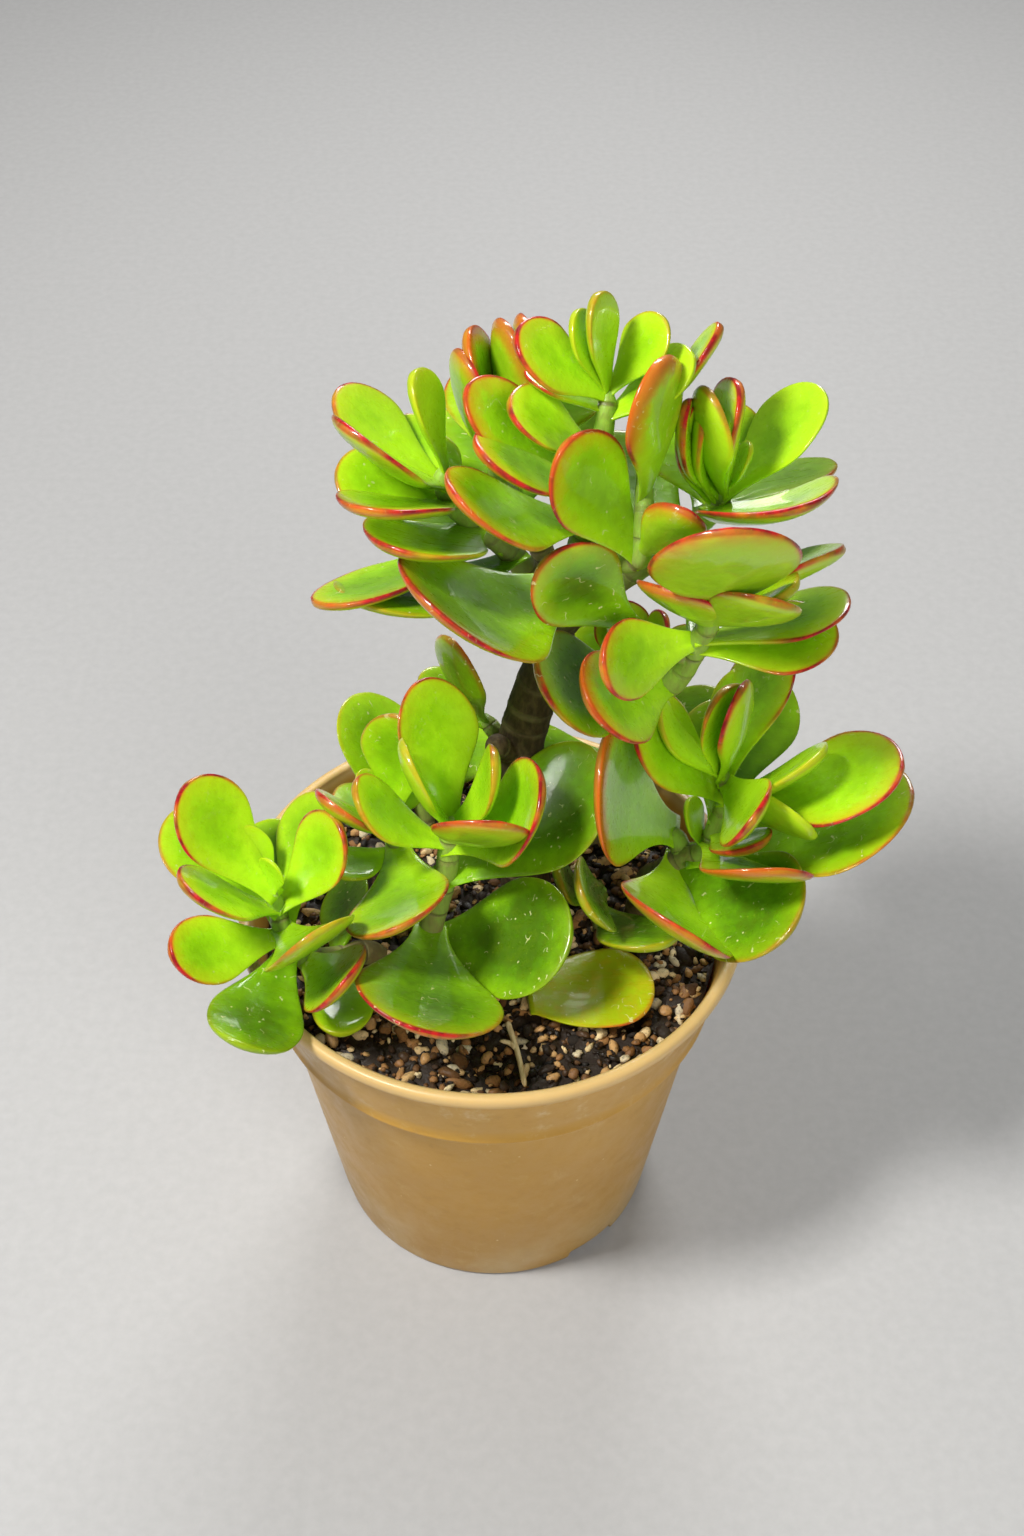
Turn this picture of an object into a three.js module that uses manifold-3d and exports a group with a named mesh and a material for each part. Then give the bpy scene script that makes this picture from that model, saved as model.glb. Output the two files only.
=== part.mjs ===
// A sunset jade plant in a round nursery pot.
// Millimetres, +Z up. The origin is the centre of the pot's flat base.
// +X is the viewer's right and +Y is away from the viewer.
import * as THREE from 'three';
import { mergeVertices } from 'three/addons/utils/BufferGeometryUtils.js';
import Module from 'manifold-3d';

const wasm = await Module();
wasm.setup();

// Driving dimensions of the pot
const POT_HEIGHT = 95;
const RIM_RADIUS = 57.5;
const LIP_WIDTH = 2.6;
const LIP_HEIGHT = 2.8;
const LIP_EDGE = 0.6;
const BAND_TOP_RADIUS = 55.2;
const BAND_BOTTOM_RADIUS = 51.3;
const BAND_BOTTOM_HEIGHT = 71;
const BAND_STEP = 1.2;
const WALL_TOP_RADIUS = 49.4;
const BASE_RADIUS = 38.5;
const BASE_EDGE = 0.8;
const WALL = 1.4;
const POT_SIDES = 40;
const FLOOR = WALL + 0.4;
const INNER_WALL = [
  [BASE_RADIUS - WALL, FLOOR],
  [WALL_TOP_RADIUS - WALL, BAND_BOTTOM_HEIGHT],
  [BAND_BOTTOM_RADIUS - WALL, BAND_BOTTOM_HEIGHT + BAND_STEP + 0.4],
  [BAND_TOP_RADIUS - WALL, POT_HEIGHT - LIP_HEIGHT - LIP_EDGE],
];
const NOTCHES = 3;
const NOTCH_ANGLE = -51;
const NOTCH_WIDTH = 13;
const NOTCH_HEIGHT = 2.4;
const NOTCH_DEPTH = 5;

// Driving dimensions of the potting mix
const MIX_HEIGHT = 86;
const MIX_GAP = 0.35;
const MIX_RINGS = 6;
const LUMP = 0.9;
const DOME = 0.0006;
const EDGE_DROP = 4;

// Driving dimensions of stems and leaves
const SEAT_GAP = 0.35;
const HOLE_GAP = 0.42;
const LEAF_THICKNESS = 3.4;
const SHOULDER = 0.64;
const PETIOLE = 0.24;
const TAPER = 1.7;
const ROOT = 0.05;
const BASE_FULLNESS = 1.12;
const SMALL_LEAF = 22;
const LONG_LEAF = 34;
const SHORT_SPANS = [-ROOT, 0.28, 0.64, 0.91];
const LONG_SPANS = [-ROOT, 0.24, 0.52, 0.78, 0.94];
// Across a leaf: part of the half width, part of the thickness
const SECTION = [[1, 0], [0, 0.2], [-1, 0], [-0.5, -0.62], [0.5, -0.62]];
const PAIR_SHRINK = 0.41;
const PAIR_RISE = 50;
const PAIR_WANDER = 7;
const PAIR_BEND = 20;
const PAIR_CUP = 0.1;
const SECOND_OF_PAIR = 0.94;
const STEM_SIDES = 6;
const TRUNK_SIDES = 9;
const TAU = Math.PI * 2;
const DEGREE = Math.PI / 180;

const PLASTIC = { color: 0xb7a583, roughness: 0.5 };
const MIX = { color: 0x4a3a2c, roughness: 0.95 };
const BARK = { color: 0x7d6650, roughness: 0.85 };
const YOUNG_LEAF = { color: 0x7fae2a, roughness: 0.4 };
const OLD_LEAF = { color: 0x4f7d22, roughness: 0.4 };
const FALLEN_LEAF = { color: 0x8a8f2c, roughness: 0.45 };
const STRAW = { color: 0xc9a867, roughness: 0.8 };

// Solids

function solidOf(geometry) {
  const bare = geometry.clone();
  for (const name of Object.keys(bare.attributes)) {
    if (name !== 'position') bare.deleteAttribute(name);
  }
  const merged = mergeVertices(bare, 1e-4);
  return new wasm.Manifold(new wasm.Mesh({
    numProp: 3,
    vertProperties: new Float32Array(merged.attributes.position.array),
    triVerts: new Uint32Array(merged.index.array),
  }));
}

function geometryOf(solid) {
  const mesh = solid.getMesh();
  const geometry = new THREE.BufferGeometry();
  geometry.setAttribute('position', new THREE.BufferAttribute(mesh.vertProperties, 3));
  geometry.setIndex(new THREE.BufferAttribute(mesh.triVerts, 1));
  return geometry;
}

function join(solids) {
  return solids.reduce((whole, piece) => whole.add(piece));
}

// A closed skin over rings of points, each ring with the same number of points.
// A ring of one point closes an end to a tip.
function loft(rings) {
  const points = rings.flat();
  const starts = [];
  let count = 0;
  for (const ring of rings) {
    starts.push(count);
    count += ring.length;
  }
  const faces = [];
  for (let i = 0; i + 1 < rings.length; i += 1) {
    const a = rings[i].length;
    const b = rings[i + 1].length;
    const sides = Math.max(a, b);
    for (let k = 0; k < sides; k += 1) {
      const next = (k + 1) % sides;
      if (a > 1) faces.push([starts[i] + k, starts[i] + next, starts[i + 1] + (b > 1 ? next : 0)]);
      if (b > 1) faces.push([starts[i] + (a > 1 ? k : 0), starts[i + 1] + next, starts[i + 1] + k]);
    }
  }
  const first = rings[0].length;
  const last = rings[rings.length - 1].length;
  for (let k = 1; k + 1 < first; k += 1) faces.push([0, k + 1, k]);
  for (let k = 1; k + 1 < last; k += 1) {
    faces.push([count - last, count - last + k, count - last + k + 1]);
  }
  const geometry = new THREE.BufferGeometry();
  geometry.setFromPoints(points);
  geometry.setIndex(faces.flat());
  return solidOf(geometry);
}

// The pot

function potGeometry() {
  const lipBase = POT_HEIGHT - LIP_HEIGHT;
  const profile = [
    [0, 0],
    [BASE_RADIUS - BASE_EDGE, 0],
    [BASE_RADIUS, BASE_EDGE],
    [WALL_TOP_RADIUS, BAND_BOTTOM_HEIGHT],
    [BAND_BOTTOM_RADIUS, BAND_BOTTOM_HEIGHT + BAND_STEP],
    [BAND_TOP_RADIUS, lipBase - LIP_EDGE],
    [RIM_RADIUS, lipBase],
    [RIM_RADIUS, POT_HEIGHT - LIP_EDGE],
    [RIM_RADIUS - LIP_EDGE, POT_HEIGHT],
    [RIM_RADIUS - LIP_WIDTH, POT_HEIGHT],
    ...[...INNER_WALL].reverse(),
    [0, FLOOR],
  ].map(([radius, height]) => new THREE.Vector2(radius, height));
  let pot = solidOf(new THREE.LatheGeometry(profile, POT_SIDES).rotateX(Math.PI / 2));
  for (let i = 0; i < NOTCHES; i += 1) {
    const cut = new THREE.BoxGeometry(NOTCH_DEPTH * 2, NOTCH_WIDTH, NOTCH_HEIGHT * 2);
    cut.translate(BASE_RADIUS, 0, 0);
    cut.rotateZ(NOTCH_ANGLE * DEGREE + (i * TAU) / NOTCHES);
    pot = pot.subtract(solidOf(cut));
  }
  return pot;
}

// The radius of the pot's inner face at a height
function innerRadius(height) {
  const above = Math.max(1, INNER_WALL.findIndex(([, top]) => top >= height));
  const [lowRadius, low] = INNER_WALL[above - 1];
  const [highRadius, high] = INNER_WALL[above];
  return lowRadius + ((highRadius - lowRadius) * (height - low)) / (high - low);
}

// The lumpy top of the mix: two crossed waves and a gentle dome
function mixTop(x, y) {
  const lumps = Math.sin(x * 0.61 + 1.3) * Math.sin(y * 0.53 + 0.4)
    + 0.6 * Math.sin(x * 1.13 - y * 0.71) * Math.sin(y * 0.97 + x * 0.37 + 2);
  return MIX_HEIGHT + LUMP * lumps - DOME * (x * x + y * y);
}

function mixSolid() {
  const ringOf = (radius, heightAt) => {
    const ring = [];
    for (let k = 0; k < POT_SIDES; k += 1) {
      const angle = (k * TAU) / POT_SIDES;
      const x = radius * Math.cos(angle);
      const y = radius * Math.sin(angle);
      ring.push(new THREE.Vector3(x, y, heightAt(x, y)));
    }
    return ring;
  };
  const rings = [];
  const wallHeights = INNER_WALL.slice(1, 3).map(([, height]) => height);
  for (const height of [FLOOR + MIX_GAP, ...wallHeights]) {
    rings.push(ringOf(innerRadius(height) - MIX_GAP, () => height));
  }
  const edge = innerRadius(MIX_HEIGHT - EDGE_DROP) - MIX_GAP;
  for (let i = 0; i < MIX_RINGS; i += 1) {
    rings.push(ringOf(edge * (1 - i / MIX_RINGS), mixTop));
  }
  rings.push([new THREE.Vector3(0, 0, mixTop(0, 0))]);
  return loft(rings);
}

// Stems

// A stem: its radius at the first and the last node, its nodes, and how many sides it has
function stem(thick, thin, nodes, sides = STEM_SIDES) {
  return { thick, thin, nodes, sides };
}

// A smooth curve through the nodes of a stem; a place on it is a node's number
function stemCurve({ nodes }) {
  const points = nodes.map((node) => new THREE.Vector3(...node));
  return new THREE.CatmullRomCurve3(points, false, 'catmullrom', 0.5);
}

function placeOn(path, place) {
  return stemCurve(path).getPoint(place / (path.nodes.length - 1));
}

// A round tapering stem between two places on its path, grown by a clearance for a hole
function stemSolid(path, from, to, clearance = 0) {
  const { thick, thin, sides } = path;
  const last = path.nodes.length - 1;
  const steps = Math.max(2, Math.ceil(to - from));
  const rings = [];
  let side = new THREE.Vector3(1, 0, 0);
  for (let i = 0; i <= steps; i += 1) {
    const place = from + ((to - from) * i) / steps;
    const centre = placeOn(path, place);
    const along = stemCurve(path).getTangent(place / last);
    side = side.clone().addScaledVector(along, -side.dot(along)).normalize();
    const across = new THREE.Vector3().crossVectors(along, side);
    const radius = thick + ((thin - thick) * place) / last + clearance;
    const ring = [];
    for (let k = 0; k < sides; k += 1) {
      const angle = (k * TAU) / sides;
      const point = centre.clone();
      point.addScaledVector(side, radius * Math.cos(angle));
      point.addScaledVector(across, radius * Math.sin(angle));
      ring.push(point);
    }
    rings.push(ring);
  }
  return loft(rings);
}

// Leaves

// The half width along a leaf: a stalk that widens to the shoulder, then a round tip
function leafHalfWidth(u) {
  if (u < SHOULDER) {
    const t = Math.max(u, 0) / SHOULDER;
    return PETIOLE + (1 - PETIOLE) * Math.sin((Math.PI / 2) * t ** TAPER);
  }
  const t = (u - SHOULDER) / (1 - SHOULDER);
  return Math.sqrt(Math.max(0, 1 - t * t));
}

// A leaf starts at a point and runs out at a heading and rise in degrees.
// It is rolled about its length, bends upward along it, and its edges are cupped.
function leafSolid(base, heading, rise, length, width, roll, bend, cup) {
  const h = heading * DEGREE;
  const r = rise * DEGREE;
  const out = new THREE.Vector3(Math.cos(h) * Math.cos(r), Math.sin(h) * Math.cos(r), Math.sin(r));
  const level = new THREE.Vector3(-Math.sin(h), Math.cos(h), 0);
  const upright = new THREE.Vector3().crossVectors(out, level);
  const across = level.clone().multiplyScalar(Math.cos(roll * DEGREE));
  across.addScaledVector(upright, Math.sin(roll * DEGREE));
  const face = new THREE.Vector3().crossVectors(out, across);
  const centreAt = (u) => {
    const turn = bend * DEGREE;
    const s = u - 0.5;
    const reach = turn === 0 ? u : (Math.sin(turn * s) + Math.sin(turn * 0.5)) / turn;
    const lift = turn === 0 ? 0 : (Math.cos(turn * 0.5) - Math.cos(turn * s)) / turn;
    const centre = base.clone().addScaledVector(out, reach * length);
    return centre.addScaledVector(face, lift * length);
  };
  const rings = (length < LONG_LEAF ? SHORT_SPANS : LONG_SPANS).map((u) => {
    const half = leafHalfWidth(u);
    const turn = bend * DEGREE * (u - 0.5);
    const normal = face.clone().multiplyScalar(Math.cos(turn)).addScaledVector(out, -Math.sin(turn));
    const fullness = Math.min(1, BASE_FULLNESS * Math.sqrt(half));
    const thick = LEAF_THICKNESS * Math.min(1, length / SMALL_LEAF) * fullness;
    return SECTION.map(([v, w]) => {
      const point = centreAt(u).addScaledVector(across, (v * half * width) / 2);
      const edge = (cup * width * half * half * v * v) / 2;
      return point.addScaledVector(normal, edge + w * thick);
    });
  });
  rings.push([centreAt(1)]);
  return loft(rings);
}

// Each row: place on the stem, heading, rise, length, width, roll, bend, cup
function leavesOn(path, rows) {
  return rows.map(([place, ...shape]) => leafSolid(placeOn(path, place), ...shape));
}

// Pairs of leaves up a stem, each pair a quarter turn from the one below it
function pairsOn(path, places, heading, rise, length, width) {
  const leaves = [];
  places.forEach((place, i) => {
    const part = i / (places.length - 1);
    const shrink = 1 - PAIR_SHRINK * part;
    for (const side of [0, 180]) {
      const turn = heading + 90 * i + side + PAIR_WANDER * Math.sin(3 * i + side);
      const roll = PAIR_WANDER * Math.cos(2 * i + side);
      const reach = length * shrink * (side ? SECOND_OF_PAIR : 1);
      const lift = rise + PAIR_RISE * part;
      const base = placeOn(path, place);
      leaves.push(leafSolid(base, turn, lift, reach, width * shrink, roll, PAIR_BEND, PAIR_CUP));
    }
  });
  return leaves;
}

// The place just past another place on a stem, one seat gap further along
function pastSeat(path, place) {
  const step = 0.05;
  const reach = placeOn(path, place + step).distanceTo(placeOn(path, place - step));
  return place + (SEAT_GAP * 2 * step) / reach;
}

// The left stem leans out over the rim
const LEFT = stem(3.2, 1.8, [
  [-22, -6, 70], [-27, -10, 87], [-35, -16, 92.5], [-41.5, -19.5, 97],
  [-45, -18.5, 103], [-46.5, -16, 109], [-47, -16, 114],
]);

function leftShoot() {
  return join([
    stemSolid(LEFT, 0, 6),
    ...leavesOn(LEFT, [
      [1.6, 268, 4, 24, 14, 0, 14, 0.1],
      [2, 85, 7, 24, 15, -40, 20, 0.15],
      [3, 298, 35, 30, 19, 30, 40, 0.06],
      [3.6, 258, 12, 36, 21, -15, 55, 0],
      [4, 213, 22, 29, 16, -32, 43, 0.05],
      [4.3, 295, 44, 34, 22, 13, 45, 0],
      [5, 143, 21, 32, 21, -6, 13, 0.12],
      [5, 66, 38, 27, 18, -29, 24, 0.15],
      [5, 211, 44, 28, 18, 2, 15, 0.1],
      [5, 21, 56, 27, 18, 12, 40, 0.1],
      [5.5, 134, 49, 18, 12, 0, 16, 0.1],
      [6, 151, 50, 31, 21, 0, 24, 0.12],
      [6, 67, 90, 10, 8, -20, 30, 0.1],
      [4, 100, 22, 28, 19, 0, 20, 0.1],
    ]),
  ]);
}

const CENTRE = stem(3.4, 1.9, [
  [-16, -9, 70], [-15, -10, 86], [-13.5, -10.5, 97], [-10, -9, 112],
  [-9, -8, 121], [-8.5, -7.5, 125], [-8.5, -7.5, 128],
]);

function centreShoot() {
  return join([
    stemSolid(CENTRE, 0, 6),
    ...leavesOn(CENTRE, [
      [2, 272, 20, 46, 32, -16, 23, 0.08],
      [1.6, 333, 28, 40, 28, 33, 10, 0.1],
      [3, 10, 38, 45, 30, 10, 26, 0.05],
      [4, 181, 43, 27, 17, 0, 40, 0.05],
      [4, 333, 50, 35, 24, 30, 45, 0.15],
      [5, 104, 50, 33, 21, 28, 8, 0.18],
      [5, 298, 45, 32, 21, -26, 34, 0.08],
      [5.5, 351, 67, 24, 16, 13, 45, 0.05],
      [5.5, 198, 70, 27, 17, 0, 22, 0.1],
    ]),
  ]);
}

const BACK_LEFT = stem(3, 1.8, [
  [-15, 9, 70], [-17, 7, 86], [-20, 4, 100], [-21, 2, 111], [-22, 3, 117], [-21, 4, 121],
]);

function backLeftShoot() {
  return join([
    stemSolid(BACK_LEFT, 0, 5),
    ...leavesOn(BACK_LEFT, [
      [2.8, 215, 10, 18, 11, 0, 18, 0.1],
      [3, 271, 17, 38, 24, 23, 33, 0.07],
      [3.4, 102, 26, 34, 23, 30, 0, 0.15],
      [4, 225, 47, 26, 16, 0, 29, 0.1],
      [4, 48, 28, 11, 6, 0, 17, 0.1],
      [4.3, 75, 75, 25, 17, -10, 19, 0.1],
      [4.4, 143, 41, 12, 8, 10, 21, 0.1],
    ]),
  ]);
}

// The right stem is woody up to its first leaves
const RIGHT = stem(3.4, 1.7, [
  [31, 2, 68], [33, 0, 88], [35, 0, 100], [38, -2, 106], [42.5, -2.5, 110.5], [47, -4, 115],
  [49.5, -2.5, 123], [51, -1.5, 129], [50, -0.5, 133], [49, -1, 136],
]);
const RIGHT_BARK_END = 3;
const RIGHT_TWIG = stem(2.4, 2.2, [[42.5, -2.5, 110.5], [41.5, 0, 113], [40, 1, 116]]);

function rightShoot() {
  return join([
    stemSolid(RIGHT, pastSeat(RIGHT, RIGHT_BARK_END), 9),
    stemSolid(RIGHT_TWIG, 0, 2),
    ...leavesOn(RIGHT_TWIG, [
      [2, 227, 56, 46, 33, -60, 26, 0.06],
    ]),
    ...leavesOn(RIGHT, [
      [3.7, 270, 26, 43, 28, -33, 50, 0.07],
      [4, 302, 17, 39, 27, 35, 22, 0.07],
      [4.6, 356, 27, 50, 33, 0, 19, 0.08],
      [5.3, 294, 34, 36, 24, -20, 40, 0],
      [5, 153, 70, 14, 9, 5, 5, 0.14],
      [5.6, 293, 35, 21, 14, 5, 14, 0.13],
      [6.7, 69, 26, 33, 21, 27, 14, 0.14],
      [7, 177, 50, 32, 22, -18, 22, 0.08],
      [7, 346, 26, 40, 27, 4, 25, 0.14],
      [7, 337, 47, 28, 19, -14, 18, 0.09],
      [7, 312, 19, 25, 17, -62, 5, 0.11],
      [8, 65, 34, 33, 21, -35, 0, 0],
      [8, 119, 86, 25, 17, 16, 13, 0.15],
      [8, 275, 26, 29, 17, 52, 39, 0.08],
      [8.7, 159, 48, 22, 14, 12, 45, 0.05],
      [8.7, 333, 85, 26, 17, 0, 19, 0.1],
      [6, 84, 20, 30, 20, 0, 20, 0.1],
    ]),
  ]);
}

// The trunk, with the woody starts of the limbs that carry the crown
const TRUNK = stem(6.4, 4.6, [
  [8, 10, 62], [8, 10, 86], [6, 12, 110], [6, 14, 126], [9, 16, 141], [13, 17, 155], [12.5, 16.6, 163],
], TRUNK_SIDES);
const STUB = stem(3, 2.6, [[7, 14, 128], [3, 11, 131], [0.4, 8.2, 135.5]]);
const SIDE = stem(2.4, 1.9, [[8, 15, 120], [3, 19, 125], [-2, 23, 130]]);
const CROWN_LEFT = stem(3, 1.9, [
  [10.5, 15.5, 160], [10, 13, 174], [5, 11, 185], [-2, 7, 196],
  [-6.5, 3.5, 203], [-8.5, 3.5, 208.5], [-8, 4, 212],
]);
const CROWN_BACK = stem(2.8, 1.8, [
  [12, 18, 160], [11, 20.5, 178], [5, 18.5, 192], [2, 15, 203],
  [4, 16, 206], [6, 17.5, 208], [8, 18.5, 211],
]);
const CROWN_TOP = stem(3.6, 1.8, [
  [13, 16.5, 158], [16, 10, 172], [16.5, 2, 186], [18, -1.5, 197], [19, -3.5, 205], [20, -3, 212],
  [21, -0.5, 218], [22, 2, 225], [22.5, 4.5, 229],
]);
const CROWN_MIDDLE = stem(2.6, 1.7, [
  [17, 0.5, 191], [24, -4.8, 196], [29, -8.3, 200], [29.5, -6, 206.5], [29.5, -3, 211], [29.5, -2, 214],
]);
const CROWN_TWIG = stem(1.7, 1.5, [[29.5, -3, 211], [29.5, 1.5, 217], [31, 6.5, 222.5]]);
const RIGHT_TOP = stem(3.6, 2, [
  [13, 16.5, 160], [22, 16, 171], [33, 12, 184], [41, 8.5, 195], [44.5, 6.5, 201], [45.5, 6, 205],
]);
const RIGHT_MIDDLE = stem(3.6, 2, [
  [9.5, 16, 143], [18, 12, 149], [27, 6, 154.5], [33, 0.5, 159], [37, -4, 164], [40, -7.5, 174],
  [41.5, -9, 180], [43, -10.5, 186], [43.5, -10.5, 190],
]);
const MIDDLE_TWIG = stem(2.2, 2, [[40, -7.5, 174], [34, -8.6, 178.5], [28, -8.6, 183]]);
const BARK_END = {
  side: 1.35, crownLeft: 1.2, crownBack: 1, crownTop: 1.2, rightTop: 1, rightMiddle: 1.5,
};

function trunk() {
  return join([
    stemSolid(TRUNK, 0, 6),
    stemSolid(STUB, 0, 2),
    stemSolid(SIDE, 0, BARK_END.side),
    stemSolid(CROWN_LEFT, 0, BARK_END.crownLeft),
    stemSolid(CROWN_BACK, 0, BARK_END.crownBack),
    stemSolid(CROWN_TOP, 0, BARK_END.crownTop),
    stemSolid(RIGHT_TOP, 0, BARK_END.rightTop),
    stemSolid(RIGHT_MIDDLE, 0, BARK_END.rightMiddle),
  ]);
}

function trunkSideShoot() {
  return join([
    stemSolid(SIDE, pastSeat(SIDE, BARK_END.side), 2),
    ...leavesOn(SIDE, [
      [1.9, 228, 72, 31, 16, -8, 24, 0.05],
      [1.6, 150, 25, 20, 13, 0, 20, 0.1],
    ]),
  ]);
}

function crownLeftShoot() {
  return join([
    stemSolid(CROWN_LEFT, pastSeat(CROWN_LEFT, BARK_END.crownLeft), 6),
    ...leavesOn(CROWN_LEFT, [
      [2, 212, 10, 40, 28, 15, 29, 0],
      [3, 242, 27, 36, 24, 0, 12, 0.14],
      [2.9, 211, -5, 38, 21, 24, 30, 0.1],
      [4, 176, 19, 24, 16, -21, 14, 0.12],
      [4.2, 239, 31, 34, 22, 9, 0, 0.12],
      [5, 155, 35, 27, 18, 7, 17, 0.09],
      [5, 220, 47, 32, 21, 0, 23, 0.09],
      [6, 161, 74, 21, 13, 4, -9, 0.17],
      [2.3, 135, 12, 32, 22, 0, 22, 0.1],
      [3.6, 124, 20, 22, 15, 0, 22, 0.1],
      [5, 120, 18, 18, 12, 0, 20, 0.1],
    ]),
  ]);
}

function crownBackShoot() {
  return join([
    stemSolid(CROWN_BACK, pastSeat(CROWN_BACK, BARK_END.crownBack), 6),
    ...leavesOn(CROWN_BACK, [
      [3, 204, 77, 30, 18, 2, 24, 0.08],
      [4, 179, 75, 29, 19, -3, 6, 0.16],
      [5, 206, 85, 28, 18, -1, 13, 0.14],
      [5.6, 198, 90, 26, 17, 0, 0, 0.18],
      [2, 66, 21, 32, 21, 0, 22, 0.1],
      [2.2, 110, 12, 28, 18, 0, 22, 0.1],
      [3.4, 95, 10, 30, 20, 0, 22, 0.1],
      [4.4, 40, 28, 26, 17, 0, 22, 0.1],
      [5, 120, 30, 22, 14, 0, 20, 0.1],
      [6, 30, 60, 14, 9, 0, 15, 0.1],
    ]),
  ]);
}

function crownTopShoot() {
  return join([
    stemSolid(CROWN_TOP, pastSeat(CROWN_TOP, BARK_END.crownTop), 8),
    stemSolid(CROWN_MIDDLE, 0, 5),
    ...leavesOn(CROWN_TOP, [
      [2, 230, 27, 49, 34, -15, 45, 0.1],
      [4.6, 168, 44, 33, 18, -10, 11, 0.15],
      [4, 212, 32, 35, 23, -9, 25, 0.05],
      [5, 200, 34, 28, 18, -3, 11, 0.09],
      [6, 181, 36, 21, 16, -8, 7, 0.2],
      [7.8, 190, 41, 23, 15, -25, 10, 0.15],
      [7, 9, 38, 20, 14, 7, 20, 0.09],
      [7.2, 158, 18, 17, 11, 10, 0, 0.15],
      [8, 23, 52, 17, 12, 9, 20, 0.12],
      [8, 158, 82, 20, 12, -5, 0, 0.13],
      [8, 163, 67, 17, 11, -4, 18, 0.11],
    ]),
    ...leavesOn(CROWN_MIDDLE, [
      [2, 190, 62, 32, 19, -56, 26, 0.09],
      [2.2, 300, 53, 24, 12, -50, 6, 0.16],
      [4, 325, 88, 30, 20, 2, 18, 0.08],
    ]),
    stemSolid(CROWN_TWIG, 0, 2),
    ...leavesOn(CROWN_TWIG, [
      [2, 22, 53, 21, 11, -27, 11, 0.12],
    ]),
  ]);
}

function rightTopShoot() {
  return join([
    stemSolid(RIGHT_TOP, pastSeat(RIGHT_TOP, BARK_END.rightTop), 5),
    ...leavesOn(RIGHT_TOP, [
      [4, 33, 0, 28, 18, -23, 12, 0.11],
      [4, 290, 35, 39, 27, 2, 10, 0.25],
      [4, 208, 72, 26, 11, -50, 38, 0],
      [4.2, 179, 81, 24, 15, -5, 45, 0],
      [4.6, 24, 44, 28, 18, -5, 10, 0.12],
      [4.6, 207, 69, 26, 13, -41, 45, 0.08],
      [4.8, 32, 87, 25, 16, -23, -14, 0.2],
      [5, 218, 78, 26, 15, -13, 28, 0.13],
      [5, 352, 69, 12, 8, 8, 13, 0.13],
      [2.6, 120, 10, 32, 21, 0, 22, 0.1],
      [3.2, 70, 2, 30, 20, 0, 22, 0.1],
      [4, 115, 14, 26, 17, 0, 22, 0.1],
      [4.7, 80, 30, 20, 13, 0, 20, 0.1],
    ]),
  ]);
}

function rightMiddleShoot() {
  return join([
    stemSolid(RIGHT_MIDDLE, pastSeat(RIGHT_MIDDLE, BARK_END.rightMiddle), 8),
    stemSolid(MIDDLE_TWIG, 0, 2),
    ...leavesOn(MIDDLE_TWIG, [
      [2, 199, 49, 28, 19, -84, 9, 0.1],
    ]),
    ...leavesOn(RIGHT_MIDDLE, [
      [3, 220, 33, 36, 24, -34, 25, 0.07],
      [4, 232, 27, 32, 21, -37, 17, 0.11],
      [5.6, 358, 9, 28, 19, 8, 16, 0.12],
      [6, 15, 10, 31, 21, -18, 21, 0],
      [6, 222, 16, 28, 16, -59, 42, 0.05],
      [6.8, 214, 50, 20, 19, 20, 0, 0.12],
      [7, 302, 44, 27, 18, -34, 5, 0.12],
      [7.6, 10, 27, 28, 19, -35, 1, 0.2],
      [7.3, 323, 43, 23, 15, 0, 5, 0.16],
      [5, 60, -5, 26, 17, 0, 0, 0.1],
      [8, 268, 59, 41, 28, 5, 23, 0.07],
    ]),
  ]);
}

const SPROUT = stem(2.2, 1.6, [[25, -1, 70], [25, -1, 87], [24, -2, 96], [25, -3, 101]]);

function lowSprout() {
  return join([
    stemSolid(SPROUT, 0, 3),
    ...leavesOn(SPROUT, [
      [1.6, 300, 27, 29, 19, -8, 16, 0.1],
      [2, 205, 58, 20, 12, -20, 40, 0.05],
      [3, 256, 41, 27, 18, -55, 0, 0.19],
    ]),
  ]);
}

const REAR_RIGHT = stem(3, 1.8, [[22, 25, 70], [25, 29, 87], [30, 35, 105], [32, 38, 120], [33, 39, 128]]);
const REAR_LEFT = stem(2.4, 1.6, [[-15, 30, 70], [-16, 32, 87], [-19, 35, 96], [-21, 37, 101]]);

function rearRightShoot() {
  return join([
    stemSolid(REAR_RIGHT, 0, 4),
    ...pairsOn(REAR_RIGHT, [2, 2.6, 3.2, 3.7, 4], 20, 20, 30, 20),
  ]);
}

function rearLeftShoot() {
  return join([
    stemSolid(REAR_LEFT, 0, 3),
    ...pairsOn(REAR_LEFT, [1.8, 2.5, 3], 40, 15, 24, 16),
  ]);
}

// Things that lie on the mix

function fallenLeaf() {
  return leafSolid(new THREE.Vector3(9.4, -23.3, 88.7), 7, 1, 27, 24, -3, 16, 0.06);
}

function straw() {
  const stalk = stem(0.7, 0.6, [[3.7, -29.7, 86.6], [5.7, -37.5, 86.8], [7.4, -46.9, 86.6]]);
  const fork = stem(0.6, 0.5, [[5.4, -36.8, 86.8], [4, -35.4, 86.8], [2, -34.7, 86.7]]);
  return join([
    stemSolid(stalk, 0, 2),
    stemSolid(fork, 0, 2),
  ]);
}

// Stems that stand in holes in the mix
const ROOTED = [LEFT, CENTRE, BACK_LEFT, RIGHT, TRUNK, SPROUT, REAR_RIGHT, REAR_LEFT];

function pottingMix() {
  let mix = mixSolid();
  for (const path of ROOTED) {
    const [[x, y, z], ...others] = path.nodes;
    const deeper = { ...path, nodes: [[x, y, z - HOLE_GAP], ...others] };
    mix = mix.subtract(stemSolid(deeper, 0, 2, HOLE_GAP));
  }
  return mix;
}

// Nodes

const plant = new THREE.Group();
plant.name = 'sunset_jade_plant';

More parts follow.
